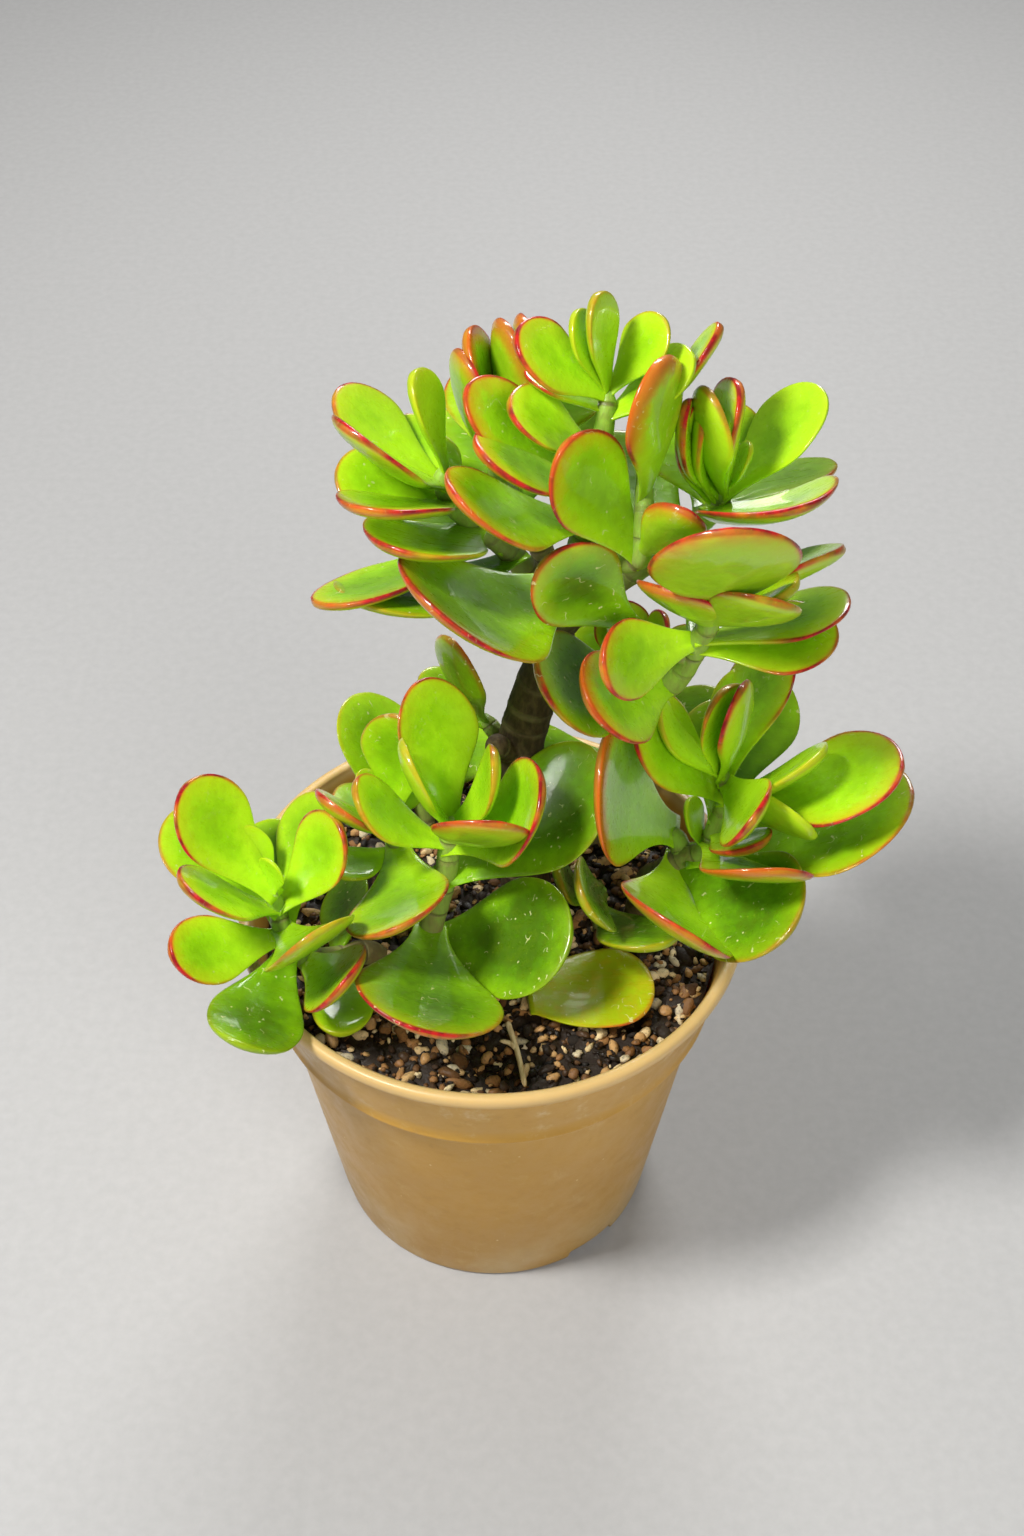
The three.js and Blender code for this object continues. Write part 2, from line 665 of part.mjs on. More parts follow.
function place(name, solid, finish) {
  const material = new THREE.MeshStandardMaterial({ ...finish, metalness: 0 });
  const mesh = new THREE.Mesh(geometryOf(solid), material);
  mesh.name = name;
  plant.add(mesh);
}

place('pot', potGeometry(), PLASTIC);
place('potting_mix', pottingMix(), MIX);
place('trunk', trunk(), BARK);
place('right_stem', stemSolid(RIGHT, 0, RIGHT_BARK_END), BARK);
place('left_shoot', leftShoot(), YOUNG_LEAF);
place('centre_shoot', centreShoot(), YOUNG_LEAF);
place('back_left_shoot', backLeftShoot(), YOUNG_LEAF);
place('right_shoot', rightShoot(), YOUNG_LEAF);
place('trunk_side_shoot', trunkSideShoot(), YOUNG_LEAF);
place('crown_left_shoot', crownLeftShoot(), YOUNG_LEAF);
place('crown_back_shoot', crownBackShoot(), YOUNG_LEAF);
place('crown_top_shoot', crownTopShoot(), YOUNG_LEAF);
place('right_top_shoot', rightTopShoot(), YOUNG_LEAF);
place('right_middle_shoot', rightMiddleShoot(), YOUNG_LEAF);
place('low_sprout', lowSprout(), OLD_LEAF);
place('rear_right_shoot', rearRightShoot(), YOUNG_LEAF);
place('rear_left_shoot', rearLeftShoot(), YOUNG_LEAF);
place('fallen_leaf', fallenLeaf(), FALLEN_LEAF);
place('straw', straw(), STRAW);

export default plant;
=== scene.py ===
import math
import random

import bmesh
import bpy
import numpy as np
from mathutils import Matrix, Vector


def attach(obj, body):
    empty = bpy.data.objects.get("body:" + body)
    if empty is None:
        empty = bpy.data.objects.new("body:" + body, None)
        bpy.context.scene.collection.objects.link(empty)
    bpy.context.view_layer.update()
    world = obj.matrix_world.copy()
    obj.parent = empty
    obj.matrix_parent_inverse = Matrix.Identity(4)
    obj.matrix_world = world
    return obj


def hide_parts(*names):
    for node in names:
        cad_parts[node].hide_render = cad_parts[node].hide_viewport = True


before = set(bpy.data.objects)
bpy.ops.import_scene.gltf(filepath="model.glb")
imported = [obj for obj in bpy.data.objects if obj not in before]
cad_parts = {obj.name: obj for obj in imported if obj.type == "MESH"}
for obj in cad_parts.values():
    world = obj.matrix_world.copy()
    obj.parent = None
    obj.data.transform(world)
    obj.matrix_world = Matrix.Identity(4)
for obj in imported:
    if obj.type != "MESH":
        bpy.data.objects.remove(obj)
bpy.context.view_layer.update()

MM = 0.001

# Camera: the angle of the photograph
CAMERA_PLACE = (4.6, -327, 454)
CAMERA_TILT = 45.8
CAMERA_LENS = 50
CAMERA_SENSOR = 36
CAMERA_CLIP = (0.01, 20)

# Stage, in metres and watts. Each lamp has its place, its width and height, its power and its colour
FLOOR_REACH = 1.0
FLOOR_DROP = 0.0002
SKY_COLOR = (0.93, 0.96, 1, 1)
SKY_LIGHT = 0.12
SKY_SEEN = 0.5
LAMP_TARGET = (0, 0, 0.13)
LAMPS = {
    "key": ((-0.42, -0.22, 0.86), (0.17, 0.17), 8.8, (1, 0.98, 0.95)),
    "back": ((0.1, 0.7, 0.65), (0.4, 0.2), 4.5, (1, 0.99, 0.97)),
    "front": ((0.35, -0.85, 0.6), (0.6, 0.5), 6, (1, 0.99, 0.97)),
}

# Pot
POT_HEIGHT = 95
RIM_RADIUS = 57.5
LIP_WIDTH = 2.6
LIP_HEIGHT = 2.8
LIP_BOTTOM = POT_HEIGHT - LIP_HEIGHT
LIP_INNER = RIM_RADIUS - LIP_WIDTH
BAND_TOP_RADIUS = 55.2
BAND_BOTTOM_RADIUS = 51.3
BAND_BOTTOM_HEIGHT = 71
BAND_STEP_HEIGHT = BAND_BOTTOM_HEIGHT + 1.6
BAND_RISE = 17.2
WALL_TOP_RADIUS = 49.4
BASE_RADIUS = 38.5
WALL = 1.4
FLOOR = WALL + 0.4
NOTCHES = 3
NOTCH_ANGLE = -51
NOTCH_WIDTH = 13
NOTCH_HEIGHT = 2.4
NOTCH_DEPTH = 5
NOTCH_OUTSIDE = 0.5
NOTCH_INSIDE = 0.4
NOTCH_CLEAR = 1.2
POT_STEP = 2
OUT_OF_ROUND = 0.0022

# Parts of the pot's outline, as radius and height; the toe's count from the wall's foot
TOE_EDGE = ((-1.3, 0), (-0.55, 0.12), (-0.15, 0.5), (0, 1.1))
WALL_HEIGHTS = (6, 14, 24, 36, 48, 58, 66, 69.5)
BAND_EDGE = (
    (WALL_TOP_RADIUS - 0.02, 70.6),
    (WALL_TOP_RADIUS + 0.35, 71.2),
    (BAND_BOTTOM_RADIUS - 0.5, 71.6),
    (BAND_BOTTOM_RADIUS + 0.2, 71.9),
    (BAND_BOTTOM_RADIUS + 0.5, 72.4),
    (BAND_BOTTOM_RADIUS + 0.45, 73),
    (BAND_BOTTOM_RADIUS + 0.15, 73.8),
)
LIP_EDGE = (
    (BAND_TOP_RADIUS + 0.5, LIP_BOTTOM - 0.45),
    (RIM_RADIUS - 0.7, LIP_BOTTOM - 0.3),
    (RIM_RADIUS - 0.2, LIP_BOTTOM),
    (RIM_RADIUS, LIP_BOTTOM + 0.5),
    (RIM_RADIUS, POT_HEIGHT - 1),
    (RIM_RADIUS - 0.25, POT_HEIGHT - 0.35),
    (RIM_RADIUS - 0.8, POT_HEIGHT),
    (LIP_INNER + 0.7, POT_HEIGHT),
    (LIP_INNER + 0.15, POT_HEIGHT - 0.3),
    (LIP_INNER, POT_HEIGHT - 0.8),
    (LIP_INNER - 0.3, POT_HEIGHT - 2),
)
INNER_WALL = (
    (BASE_RADIUS - WALL, FLOOR),
    (WALL_TOP_RADIUS - WALL, BAND_BOTTOM_HEIGHT),
    (BAND_BOTTOM_RADIUS - WALL, BAND_STEP_HEIGHT),
    (BAND_TOP_RADIUS - WALL, LIP_BOTTOM - 0.6),
)

# Heights in metres where the pot's colour changes, with painted light that pales it upwards and a painted
# highlight on its lip, and the painted shade line under its band
PAINTED_LIGHT_RISE = (0.0, 90 * MM)
RUBBED_UP = (60 * MM, 85 * MM)
HAZE_DOWN = (0.0, 30 * MM)
LIP_HIGHLIGHT_SPAN = (91.5 * MM, 93.5 * MM)
BAND_SHADE_HEIGHT = 71.2 * MM
BAND_SHADE_REACH = (0.2 * MM, 1.1 * MM)

# Potting mix; each TONES holds the two numbers that shape the spread of the tones
MIX_HEIGHT = 86
MIX_GAP = 0.35
MIX_EDGE_DROP = 4
MIX_SIDES = 120
MIX_RINGS = 56
MIX_RIPPLE = 0.5
MIX_SINK = 0.35
LUMP = 0.9
DOME = 0.0006
BODY_TONE = 0.3
GRANULES = 2700
GRANULE_SIZES = (0.4, 1.2)
GRANULE_TONES = (1.1, 1.35)
CHIPS = 760
CHIP_SIZES = (0.8, 1.8)
CHIP_TONES = (1.8, 1.1)
GRAIN_LIFT = (-0.25, 0.35)
GRAIN_STRETCH = ((0.75, 1.7), (0.6, 1.1), (0.45, 0.9))
GRAIN_LUMPS = 0.55
GRAIN_TILT = 0.35
STRAW_ROOM = 1.5

# Stems
STEM_SAMPLES = 60
STEM_SLIM = 0.96
STEM_LUMPS = 0.045
SCAR_RELIEF = 0.05
SCAR_SWELL_REACH = 1.1
SCAR_GROOVE_REACH = 0.35
NO_SCAR = 5
END_SIZE = 0.55
END_GROWTH = 0.18
BARK_OVERLAP = 0.05

# Leaves
LEAF_THICKNESS = 3.4
SHOULDER = 0.64
PETIOLE = 0.24
TAPER = 1.7
ROOT = 0.05
LEAF_SIDES = 28
THICK_LENGTH = 22
WAVY_LENGTH = 30
MEDIUM_WIDTH = 22
UPPER_FULLNESS = 0.22
LOWER_FULLNESS = 0.6
EDGE_WAVE = 0.018
FACE_WAVE = 0.3
GROOVE_DEPTH = 0.1
GROOVE_WIDTH = 0.16
GROOVE_FADE = 1.25
PAIR_SHRINK = 0.41
PAIR_RISE = 50
PAIR_WANDER = 7
PAIR_BEND = 20
PAIR_CUP = 0.1
SECOND_OF_PAIR = 0.94

# Where the sun's red comes from, and how much of it a leaf's sides take
SUN = (-0.55, -0.35, 0.76)
SUN_SHARE = 0.62
SUN_SWING = 0.55
SUN_LIMITS = (0.08, 1.15)

# Seeds of the random draws; the shoots count on from the first
POT_SEED = 5
MIX_SEED = 11
TRUNK_SEED = 21
RIGHT_STEM_SEED = 22
FALLEN_SEED = 31
STRAW_SEED = 41
FIRST_SHOOT_SEED = 51

# Paths of the stems, node by node
LEFT = [
    (-22, -6, 70), (-27, -10, 87), (-35, -16, 92.5), (-41.5, -19.5, 97),
    (-45, -18.5, 103), (-46.5, -16, 109), (-47, -16, 114),
]
CENTRE = [
    (-16, -9, 70), (-15, -10, 86), (-13.5, -10.5, 97), (-10, -9, 112),
    (-9, -8, 121), (-8.5, -7.5, 125), (-8.5, -7.5, 128),
]
BACK_LEFT = [(-15, 9, 70), (-17, 7, 86), (-20, 4, 100), (-21, 2, 111), (-22, 3, 117), (-21, 4, 121)]
RIGHT = [
    (31, 2, 68), (33, 0, 88), (35, 0, 100), (38, -2, 106), (42.5, -2.5, 110.5), (47, -4, 115),
    (49.5, -2.5, 123), (51, -1.5, 129), (50, -0.5, 133), (49, -1, 136),
]
RIGHT_TWIG = [(42.5, -2.5, 110.5), (41.5, 0, 113), (40, 1, 116)]
TRUNK = [
    (8, 10, 62), (8, 10, 86), (6, 12, 110), (6, 14, 126), (9, 16, 141), (13, 17, 155), (12.5, 16.6, 163),
]
STUB = [(7, 14, 128), (3, 11, 131), (0.4, 8.2, 135.5)]
SIDE = [(8, 15, 120), (3, 19, 125), (-2, 23, 130)]
CROWN_LEFT = [
    (10.5, 15.5, 160), (10, 13, 174), (5, 11, 185), (-2, 7, 196), (-6.5, 3.5, 203),
    (-8.5, 3.5, 208.5), (-8, 4, 212),
]
CROWN_BACK = [
    (12, 18, 160), (11, 20.5, 178), (5, 18.5, 192), (2, 15, 203), (4, 16, 206),
    (6, 17.5, 208), (8, 18.5, 211),
]
CROWN_TOP = [
    (13, 16.5, 158), (16, 10, 172), (16.5, 2, 186), (18, -1.5, 197), (19, -3.5, 205),
    (20, -3, 212), (21, -0.5, 218), (22, 2, 225), (22.5, 4.5, 229),
]
CROWN_MIDDLE = [
    (17, 0.5, 191), (24, -4.8, 196), (29, -8.3, 200), (29.5, -6, 206.5), (29.5, -3, 211), (29.5, -2, 214),
]
CROWN_TWIG = [(29.5, -3, 211), (29.5, 1.5, 217), (31, 6.5, 222.5)]
RIGHT_TOP = [
    (13, 16.5, 160), (22, 16, 171), (33, 12, 184), (41, 8.5, 195), (44.5, 6.5, 201), (45.5, 6, 205),
]
RIGHT_MIDDLE = [
    (9.5, 16, 143), (18, 12, 149), (27, 6, 154.5), (33, 0.5, 159), (37, -4, 164), (40, -7.5, 174),
    (41.5, -9, 180), (43, -10.5, 186), (43.5, -10.5, 190),
]
MIDDLE_TWIG = [(40, -7.5, 174), (34, -8.6, 178.5), (28, -8.6, 183)]
SPROUT = [(25, -1, 70), (25, -1, 87), (24, -2, 96), (25, -3, 101)]
REAR_RIGHT = [(22, 25, 70), (25, 29, 87), (30, 35, 105), (32, 38, 120), (33, 39, 128)]
REAR_LEFT = [(-15, 30, 70), (-16, 32, 87), (-19, 35, 96), (-21, 37, 101)]

# Where the bark of each limb ends on its path
RIGHT_BARK = 3
SIDE_BARK = 1.35
CROWN_LEFT_BARK = 1.2
CROWN_BACK_BARK = 1
CROWN_TOP_BARK = 1.2
RIGHT_TOP_BARK = 1
RIGHT_MIDDLE_BARK = 1.5

# Leaves: place on the stem, heading, rise, length, width, roll, bend, cup,
# age from 0 young to 1 old, and how red its edges are, which above 1 spreads over the leaf
LEFT_LEAVES = [
    (1.6, 268, 4, 24, 14, 0, 14, 0.1, 0.45, 0.2),
    (2, 85, 7, 24, 15, -40, 20, 0.15, 0.85, 0.1),
    (3, 298, 35, 30, 19, 30, 40, 0.06, 0.35, 0.9),
    (3.6, 258, 12, 36, 21, -15, 55, 0, 0.85, 0.1),
    (4, 213, 22, 29, 16, -32, 43, 0.05, 0.3, 0.8),
    (4.3, 295, 44, 34, 22, 13, 45, 0, 0.35, 0.3),
    (5, 143, 21, 32, 21, -6, 13, 0.12, 0.3, 0.3),
    (5, 66, 38, 27, 18, -29, 24, 0.15, 0.4, 0.3),
    (5, 211, 44, 28, 18, 2, 15, 0.1, 0.15, 0.6),
    (5, 21, 56, 27, 18, 12, 40, 0.1, 0.2, 0.7),
    (5.5, 134, 49, 18, 12, 0, 16, 0.1, 0.05, 0.15),
    (6, 151, 50, 31, 21, 0, 24, 0.12, 0.15, 0.6),
    (6, 67, 90, 10, 8, -20, 30, 0.1, 0, 0.1),
    (4, 100, 22, 28, 19, 0, 20, 0.1, 0.6, 0.2),
]
CENTRE_LEAVES = [
    (2, 272, 20, 46, 32, -16, 23, 0.08, 0.72, 0.6),
    (1.6, 333, 28, 40, 28, 33, 10, 0.1, 0.95, 0.1),
    (3, 10, 38, 45, 30, 10, 26, 0.05, 0.95, 0.2),
    (4, 181, 43, 27, 17, 0, 40, 0.05, 0.2, 0.35),
    (4, 333, 50, 35, 24, 30, 45, 0.15, 0.25, 0.75),
    (5, 104, 50, 33, 21, 28, 8, 0.18, 0.12, 0.5),
    (5, 298, 45, 32, 21, -26, 34, 0.08, 0.1, 0.95),
    (5.5, 351, 67, 24, 16, 13, 45, 0.05, 0.08, 0.4),
    (5.5, 198, 70, 27, 17, 0, 22, 0.1, 0.05, 0.2),
]
BACK_LEFT_LEAVES = [
    (2.8, 215, 10, 18, 11, 0, 18, 0.1, 0.4, 0.2),
    (3, 271, 17, 38, 24, 23, 33, 0.07, 0.3, 0.8),
    (3.4, 102, 26, 34, 23, 30, 0, 0.15, 0.5, 0.2),
    (4, 225, 47, 26, 16, 0, 29, 0.1, 0.3, 0.9),
    (4, 48, 28, 11, 6, 0, 17, 0.1, 0.3, 0.2),
    (4.3, 75, 75, 25, 17, -10, 19, 0.1, 0.4, 0.3),
    (4.4, 143, 41, 12, 8, 10, 21, 0.1, 0.2, 0.2),
]
RIGHT_TWIG_LEAVES = [(2, 227, 56, 46, 33, -60, 26, 0.06, 0.3, 1.4)]
RIGHT_LEAVES = [
    (3.7, 270, 26, 43, 28, -33, 50, 0.07, 0.05, 1),
    (4, 302, 17, 39, 27, 35, 22, 0.07, 0.9, 0.3),
    (4.6, 356, 27, 50, 33, 0, 19, 0.08, 0.62, 0.6),
    (5.3, 294, 34, 36, 24, -20, 40, 0, 0.15, 1.3),
    (5, 153, 70, 14, 9, 5, 5, 0.14, 0.05, 0.1),
    (5.6, 293, 35, 21, 14, 5, 14, 0.13, 0.1, 1),
    (6.7, 69, 26, 33, 21, 27, 14, 0.14, 0.6, 0.2),
    (7, 177, 50, 32, 22, -18, 22, 0.08, 0.2, 0.7),
    (7, 346, 26, 40, 27, 4, 25, 0.14, 0.25, 1.3),
    (7, 337, 47, 28, 19, -14, 18, 0.09, 0.05, 0.2),
    (7, 312, 19, 25, 17, -62, 5, 0.11, 0.02, 0.15),
    (8, 65, 34, 33, 21, -35, 0, 0, 0.35, 0.95),
    (8, 119, 86, 25, 17, 16, 13, 0.15, 0.1, 0.3),
    (8, 275, 26, 29, 17, 52, 39, 0.08, 0.05, 0.5),
    (8.7, 159, 48, 22, 14, 12, 45, 0.05, 0.05, 0.2),
    (8.7, 333, 85, 26, 17, 0, 19, 0.1, 0.05, 0.5),
    (6, 84, 20, 30, 20, 0, 20, 0.1, 0.7, 0.3),
]
SIDE_LEAVES = [
    (1.9, 228, 72, 31, 16, -8, 24, 0.05, 0.95, 0.3),
    (1.6, 150, 25, 20, 13, 0, 20, 0.1, 0.8, 0.2),
]
CROWN_LEFT_LEAVES = [
    (2, 212, 10, 40, 28, 15, 29, 0, 0.8, 0.2),
    (3, 242, 27, 36, 24, 0, 12, 0.14, 0.4, 0.4),
    (2.9, 211, -5, 38, 21, 24, 30, 0.1, 0.4, 0.8),
    (4, 176, 19, 24, 16, -21, 14, 0.12, 0.35, 0.3),
    (4.2, 239, 31, 34, 22, 9, 0, 0.12, 0.2, 0.85),
    (5, 155, 35, 27, 18, 7, 17, 0.09, 0.08, 0.5),
    (5, 220, 47, 32, 21, 0, 23, 0.09, 0.15, 0.5),
    (6, 161, 74, 21, 13, 4, -9, 0.17, 0, 0.15),
    (2.3, 135, 12, 32, 22, 0, 22, 0.1, 0.6, 0.4),
    (3.6, 124, 20, 22, 15, 0, 22, 0.1, 0.5, 0.4),
    (5, 120, 18, 18, 12, 0, 20, 0.1, 0.4, 0.5),
]
CROWN_BACK_LEAVES = [
    (3, 204, 77, 30, 18, 2, 24, 0.08, 0.3, 0.9),
    (4, 179, 75, 29, 19, -3, 6, 0.16, 0.25, 1.3),
    (5, 206, 85, 28, 18, -1, 13, 0.14, 0.2, 1.2),
    (5.6, 198, 90, 26, 17, 0, 0, 0.18, 0.1, 1.2),
    (2, 66, 21, 32, 21, 0, 22, 0.1, 0.7, 0.3),
    (2.2, 110, 12, 28, 18, 0, 22, 0.1, 0.7, 0.3),
    (3.4, 95, 10, 30, 20, 0, 22, 0.1, 0.5, 0.5),
    (4.4, 40, 28, 26, 17, 0, 22, 0.1, 0.4, 0.6),
    (5, 120, 30, 22, 14, 0, 20, 0.1, 0.35, 0.6),
    (6, 30, 60, 14, 9, 0, 15, 0.1, 0.2, 0.6),
]
CROWN_TOP_LEAVES = [
    (2, 230, 27, 49, 34, -15, 45, 0.1, 0.48, 0.9),
    (4.6, 168, 44, 33, 18, -10, 11, 0.15, 0.35, 1),
    (4, 212, 32, 35, 23, -9, 25, 0.05, 0.42, 0.95),
    (5, 200, 34, 28, 18, -3, 11, 0.09, 0.35, 0.9),
    (6, 181, 36, 21, 16, -8, 7, 0.2, 0.15, 0.4),
    (7.8, 190, 41, 23, 15, -25, 10, 0.15, 0.12, 0.8),
    (7, 9, 38, 20, 14, 7, 20, 0.09, 0.2, 0.15),
    (7.2, 158, 18, 17, 11, 10, 0, 0.15, 0.3, 0.5),
    (8, 23, 52, 17, 12, 9, 20, 0.12, 0.15, 0.3),
    (8, 158, 82, 20, 12, -5, 0, 0.13, 0.05, 0.25),
    (8, 163, 67, 17, 11, -4, 18, 0.11, 0, 0.15),
]
CROWN_MIDDLE_LEAVES = [
    (2, 190, 62, 32, 19, -56, 26, 0.09, 0.4, 0.95),
    (2.2, 300, 53, 24, 12, -50, 6, 0.16, 0.3, 1),
    (4, 325, 88, 30, 20, 2, 18, 0.08, 0.35, 1.7),
]
CROWN_TWIG_LEAVES = [(2, 22, 53, 21, 11, -27, 11, 0.12, 0.25, 1)]
RIGHT_TOP_LEAVES = [
    (4, 33, 0, 28, 18, -23, 12, 0.11, 0.4, 0.7),
    (4, 290, 35, 39, 27, 2, 10, 0.25, 0.2, 0.6),
    (4, 208, 72, 26, 11, -50, 38, 0, 0.5, 0.6),
    (4.2, 179, 81, 24, 15, -5, 45, 0, 0.1, 0.35),
    (4.6, 24, 44, 28, 18, -5, 10, 0.12, 0.15, 0.12),
    (4.6, 207, 69, 26, 13, -41, 45, 0.08, 0.4, 0.6),
    (4.8, 32, 87, 25, 16, -23, -14, 0.2, 0.15, 0.9),
    (5, 218, 78, 26, 15, -13, 28, 0.13, 0.05, 0.3),
    (5, 352, 69, 12, 8, 8, 13, 0.13, 0.0, 0.2),
    (2.6, 120, 10, 32, 21, 0, 22, 0.1, 0.7, 0.4),
    (3.2, 70, 2, 30, 20, 0, 22, 0.1, 0.5, 0.4),
    (4, 115, 14, 26, 17, 0, 22, 0.1, 0.4, 0.5),
    (4.7, 80, 30, 20, 13, 0, 20, 0.1, 0.25, 0.5),
]
MIDDLE_TWIG_LEAVES = [(2, 199, 49, 28, 19, -84, 9, 0.1, 0.75, 0.6)]
RIGHT_MIDDLE_LEAVES = [
    (3, 220, 33, 36, 24, -34, 25, 0.07, 0.75, 0.4),
    (4, 232, 27, 32, 21, -37, 17, 0.11, 0.35, 1.1),
    (5.6, 358, 9, 28, 19, 8, 16, 0.12, 0.35, 0.8),
    (6, 15, 10, 31, 21, -18, 21, 0, 0.15, 0.9),
    (6, 222, 16, 28, 16, -59, 42, 0.05, 0.2, 0.9),
    (6.8, 214, 50, 20, 19, 20, 0, 0.12, 0.2, 1.0),
    (7, 302, 44, 27, 18, -34, 5, 0.12, 0.05, 0.4),
    (7.6, 10, 27, 28, 19, -35, 1, 0.2, 0.1, 0.6),
    (7.3, 323, 43, 23, 15, 0, 5, 0.16, 0.1, 0.3),
    (5, 60, -5, 26, 17, 0, 0, 0.1, 0.6, 0.1),
    (8, 268, 59, 41, 28, 5, 23, 0.07, 0.05, 0.85),
]
SPROUT_LEAVES = [
    (1.6, 300, 27, 29, 19, -8, 16, 0.1, 0.9, 0.2),
    (2, 205, 58, 20, 12, -20, 40, 0.05, 0.9, 0.2),
    (3, 256, 41, 27, 18, -55, 0, 0.19, 0.9, 0.2),
]

# The fallen leaf and the two parts of the straw, which lie on the mix
FALLEN = ((9.4, -23.3, 88.7), (7, 1, 27, 24, -3, 16, 0.06))
STALK = [(3.7, -29.7, 86.6), (5.7, -37.5, 86.8), (7.4, -46.9, 86.6)]
FORK = [(5.4, -36.8, 86.8), (4, -35.4, 86.8), (2, -34.7, 86.7)]

# What each point of a piece carries for its material:
# rim is the distance from a leaf's edge in mm, along and side say where on the leaf a point is,
# wood runs from 0 green stem to 1 bark, and scar is the distance from a ring scar in mm
VALUES = ("rim", "along", "side", "age", "blush", "tone", "wood", "scar")


# Meshes

def add_object(name, data):
    obj = bpy.data.objects.new(name, data)
    bpy.context.collection.objects.link(obj)
    return obj


class Skin:
    """Gathers the points, faces and point values of one piece, part by part."""

    def __init__(self):
        self.points = []
        self.faces = []
        self.slots = []
        self.values = {name: [] for name in VALUES}
        self.count = 0

    def add(self, points, *face_groups, slot=0, **values):
        for faces in face_groups:
            self.faces.append(faces + self.count)
            self.slots.append(np.full(len(faces), slot))
        self.points.append(points)
        for name in VALUES:
            value = np.asarray(values.get(name, 0.0), float).reshape(-1)
            self.values[name].append(np.broadcast_to(value, len(points)))
        self.count += len(points)

    def piece(self, name, materials):
        mesh = bpy.data.meshes.new(name)
        points = np.concatenate(self.points) * MM
        corners = np.concatenate([part.reshape(-1) for part in self.faces])
        sizes = np.concatenate([np.full(len(part), part.shape[1]) for part in self.faces])
        mesh.vertices.add(len(points))
        mesh.vertices.foreach_set("co", points.reshape(-1))
        mesh.loops.add(len(corners))
        mesh.loops.foreach_set("vertex_index", corners)
        mesh.polygons.add(len(sizes))
        mesh.polygons.foreach_set("loop_start", np.concatenate(([0], np.cumsum(sizes)[:-1])))
        mesh.polygons.foreach_set("material_index", np.concatenate(self.slots))
        for material in materials:
            mesh.materials.append(material)
        for key, parts in self.values.items():
            layer = mesh.attributes.new(key, "FLOAT", "POINT")
            layer.data.foreach_set("value", np.concatenate(parts))
        mesh.update(calc_edges=True)
        mesh.validate()
        mesh.polygons.foreach_set("use_smooth", np.ones(len(mesh.polygons), bool))
        return add_object(name, mesh)


def inside_out(points, quads, fans):
    """Whether the faces of a closed skin look inward, from the sign of its volume."""
    triangles = np.concatenate([quads[:, [0, 1, 2]], quads[:, [0, 2, 3]], fans])
    corners = points[triangles] - points.mean(axis=0)
    return (corners[:, 0] * np.cross(corners[:, 1], corners[:, 2])).sum() < 0


def tube(rings):
    """Points, side faces and end fans of a closed skin over an array of rings."""
    count, sides, _ = rings.shape
    ends = rings[[0, -1]].mean(axis=1)
    points = np.concatenate([rings.reshape(-1, 3), ends])
    here = np.arange(sides)
    after = (here + 1) % sides
    low = np.arange(count - 1)[:, None] * sides
    high = low + sides
    quads = np.stack([low + here, low + after, high + after, high + here], axis=-1).reshape(-1, 4)
    first_end = np.full(sides, count * sides)
    last_ring = (count - 1) * sides
    fans = np.concatenate([
        np.stack([first_end, after, here], axis=-1),
        np.stack([first_end + 1, last_ring + here, last_ring + after], axis=-1),
    ])
    if inside_out(points, quads, fans):
        return points, quads[:, ::-1], fans[:, ::-1]
    return points, quads, fans


def circle(sides):
    """The cosines and sines of even steps round a circle."""
    angle = np.arange(sides) * math.tau / sides
    return np.cos(angle), np.sin(angle)


def ripple(rng, count):
    """A smooth random wave over two coordinates, between about -1 and 1."""
    waves = [
        (rng.uniform(-1, 1), rng.uniform(-1, 1), rng.uniform(0, math.tau), rng.uniform(0.5, 1))
        for _ in range(count)
    ]

    def height(x, y):
        total = sum(size * np.sin(a * x + b * y + phase) for a, b, phase, size in waves)
        return total / count

    return height


# Stems

def curve_point(path, place):
    """The point and the direction at a place on a stem, a node's number or between two."""
    index = int(min(max(math.floor(place), 0), len(path) - 2))
    t = place - index
    nodes = np.asarray(path, float)
    nodes = np.vstack([2 * nodes[0] - nodes[1], nodes, 2 * nodes[-1] - nodes[-2]])
    p0, p1, p2, p3 = nodes[index:index + 4]
    t0 = (p2 - p0) / 2
    t1 = (p3 - p1) / 2
    c2 = 3 * (p2 - p1) - 2 * t0 - t1
    c3 = 2 * (p1 - p2) + t0 + t1
    point = p1 + t0 * t + c2 * t**2 + c3 * t**3
    along = t0 + 2 * c2 * t + 3 * c3 * t**2
    return point, along / np.linalg.norm(along)


def ring_scars(length, spacing, rng):
    """How far along a stem each of its ring scars is."""
    marks = []
    at = rng.uniform(0.3, 0.8) * spacing
    while at < length:
        marks.append(at)
        at += spacing * rng.uniform(0.6, 1.3)
    return np.array(marks or [length])


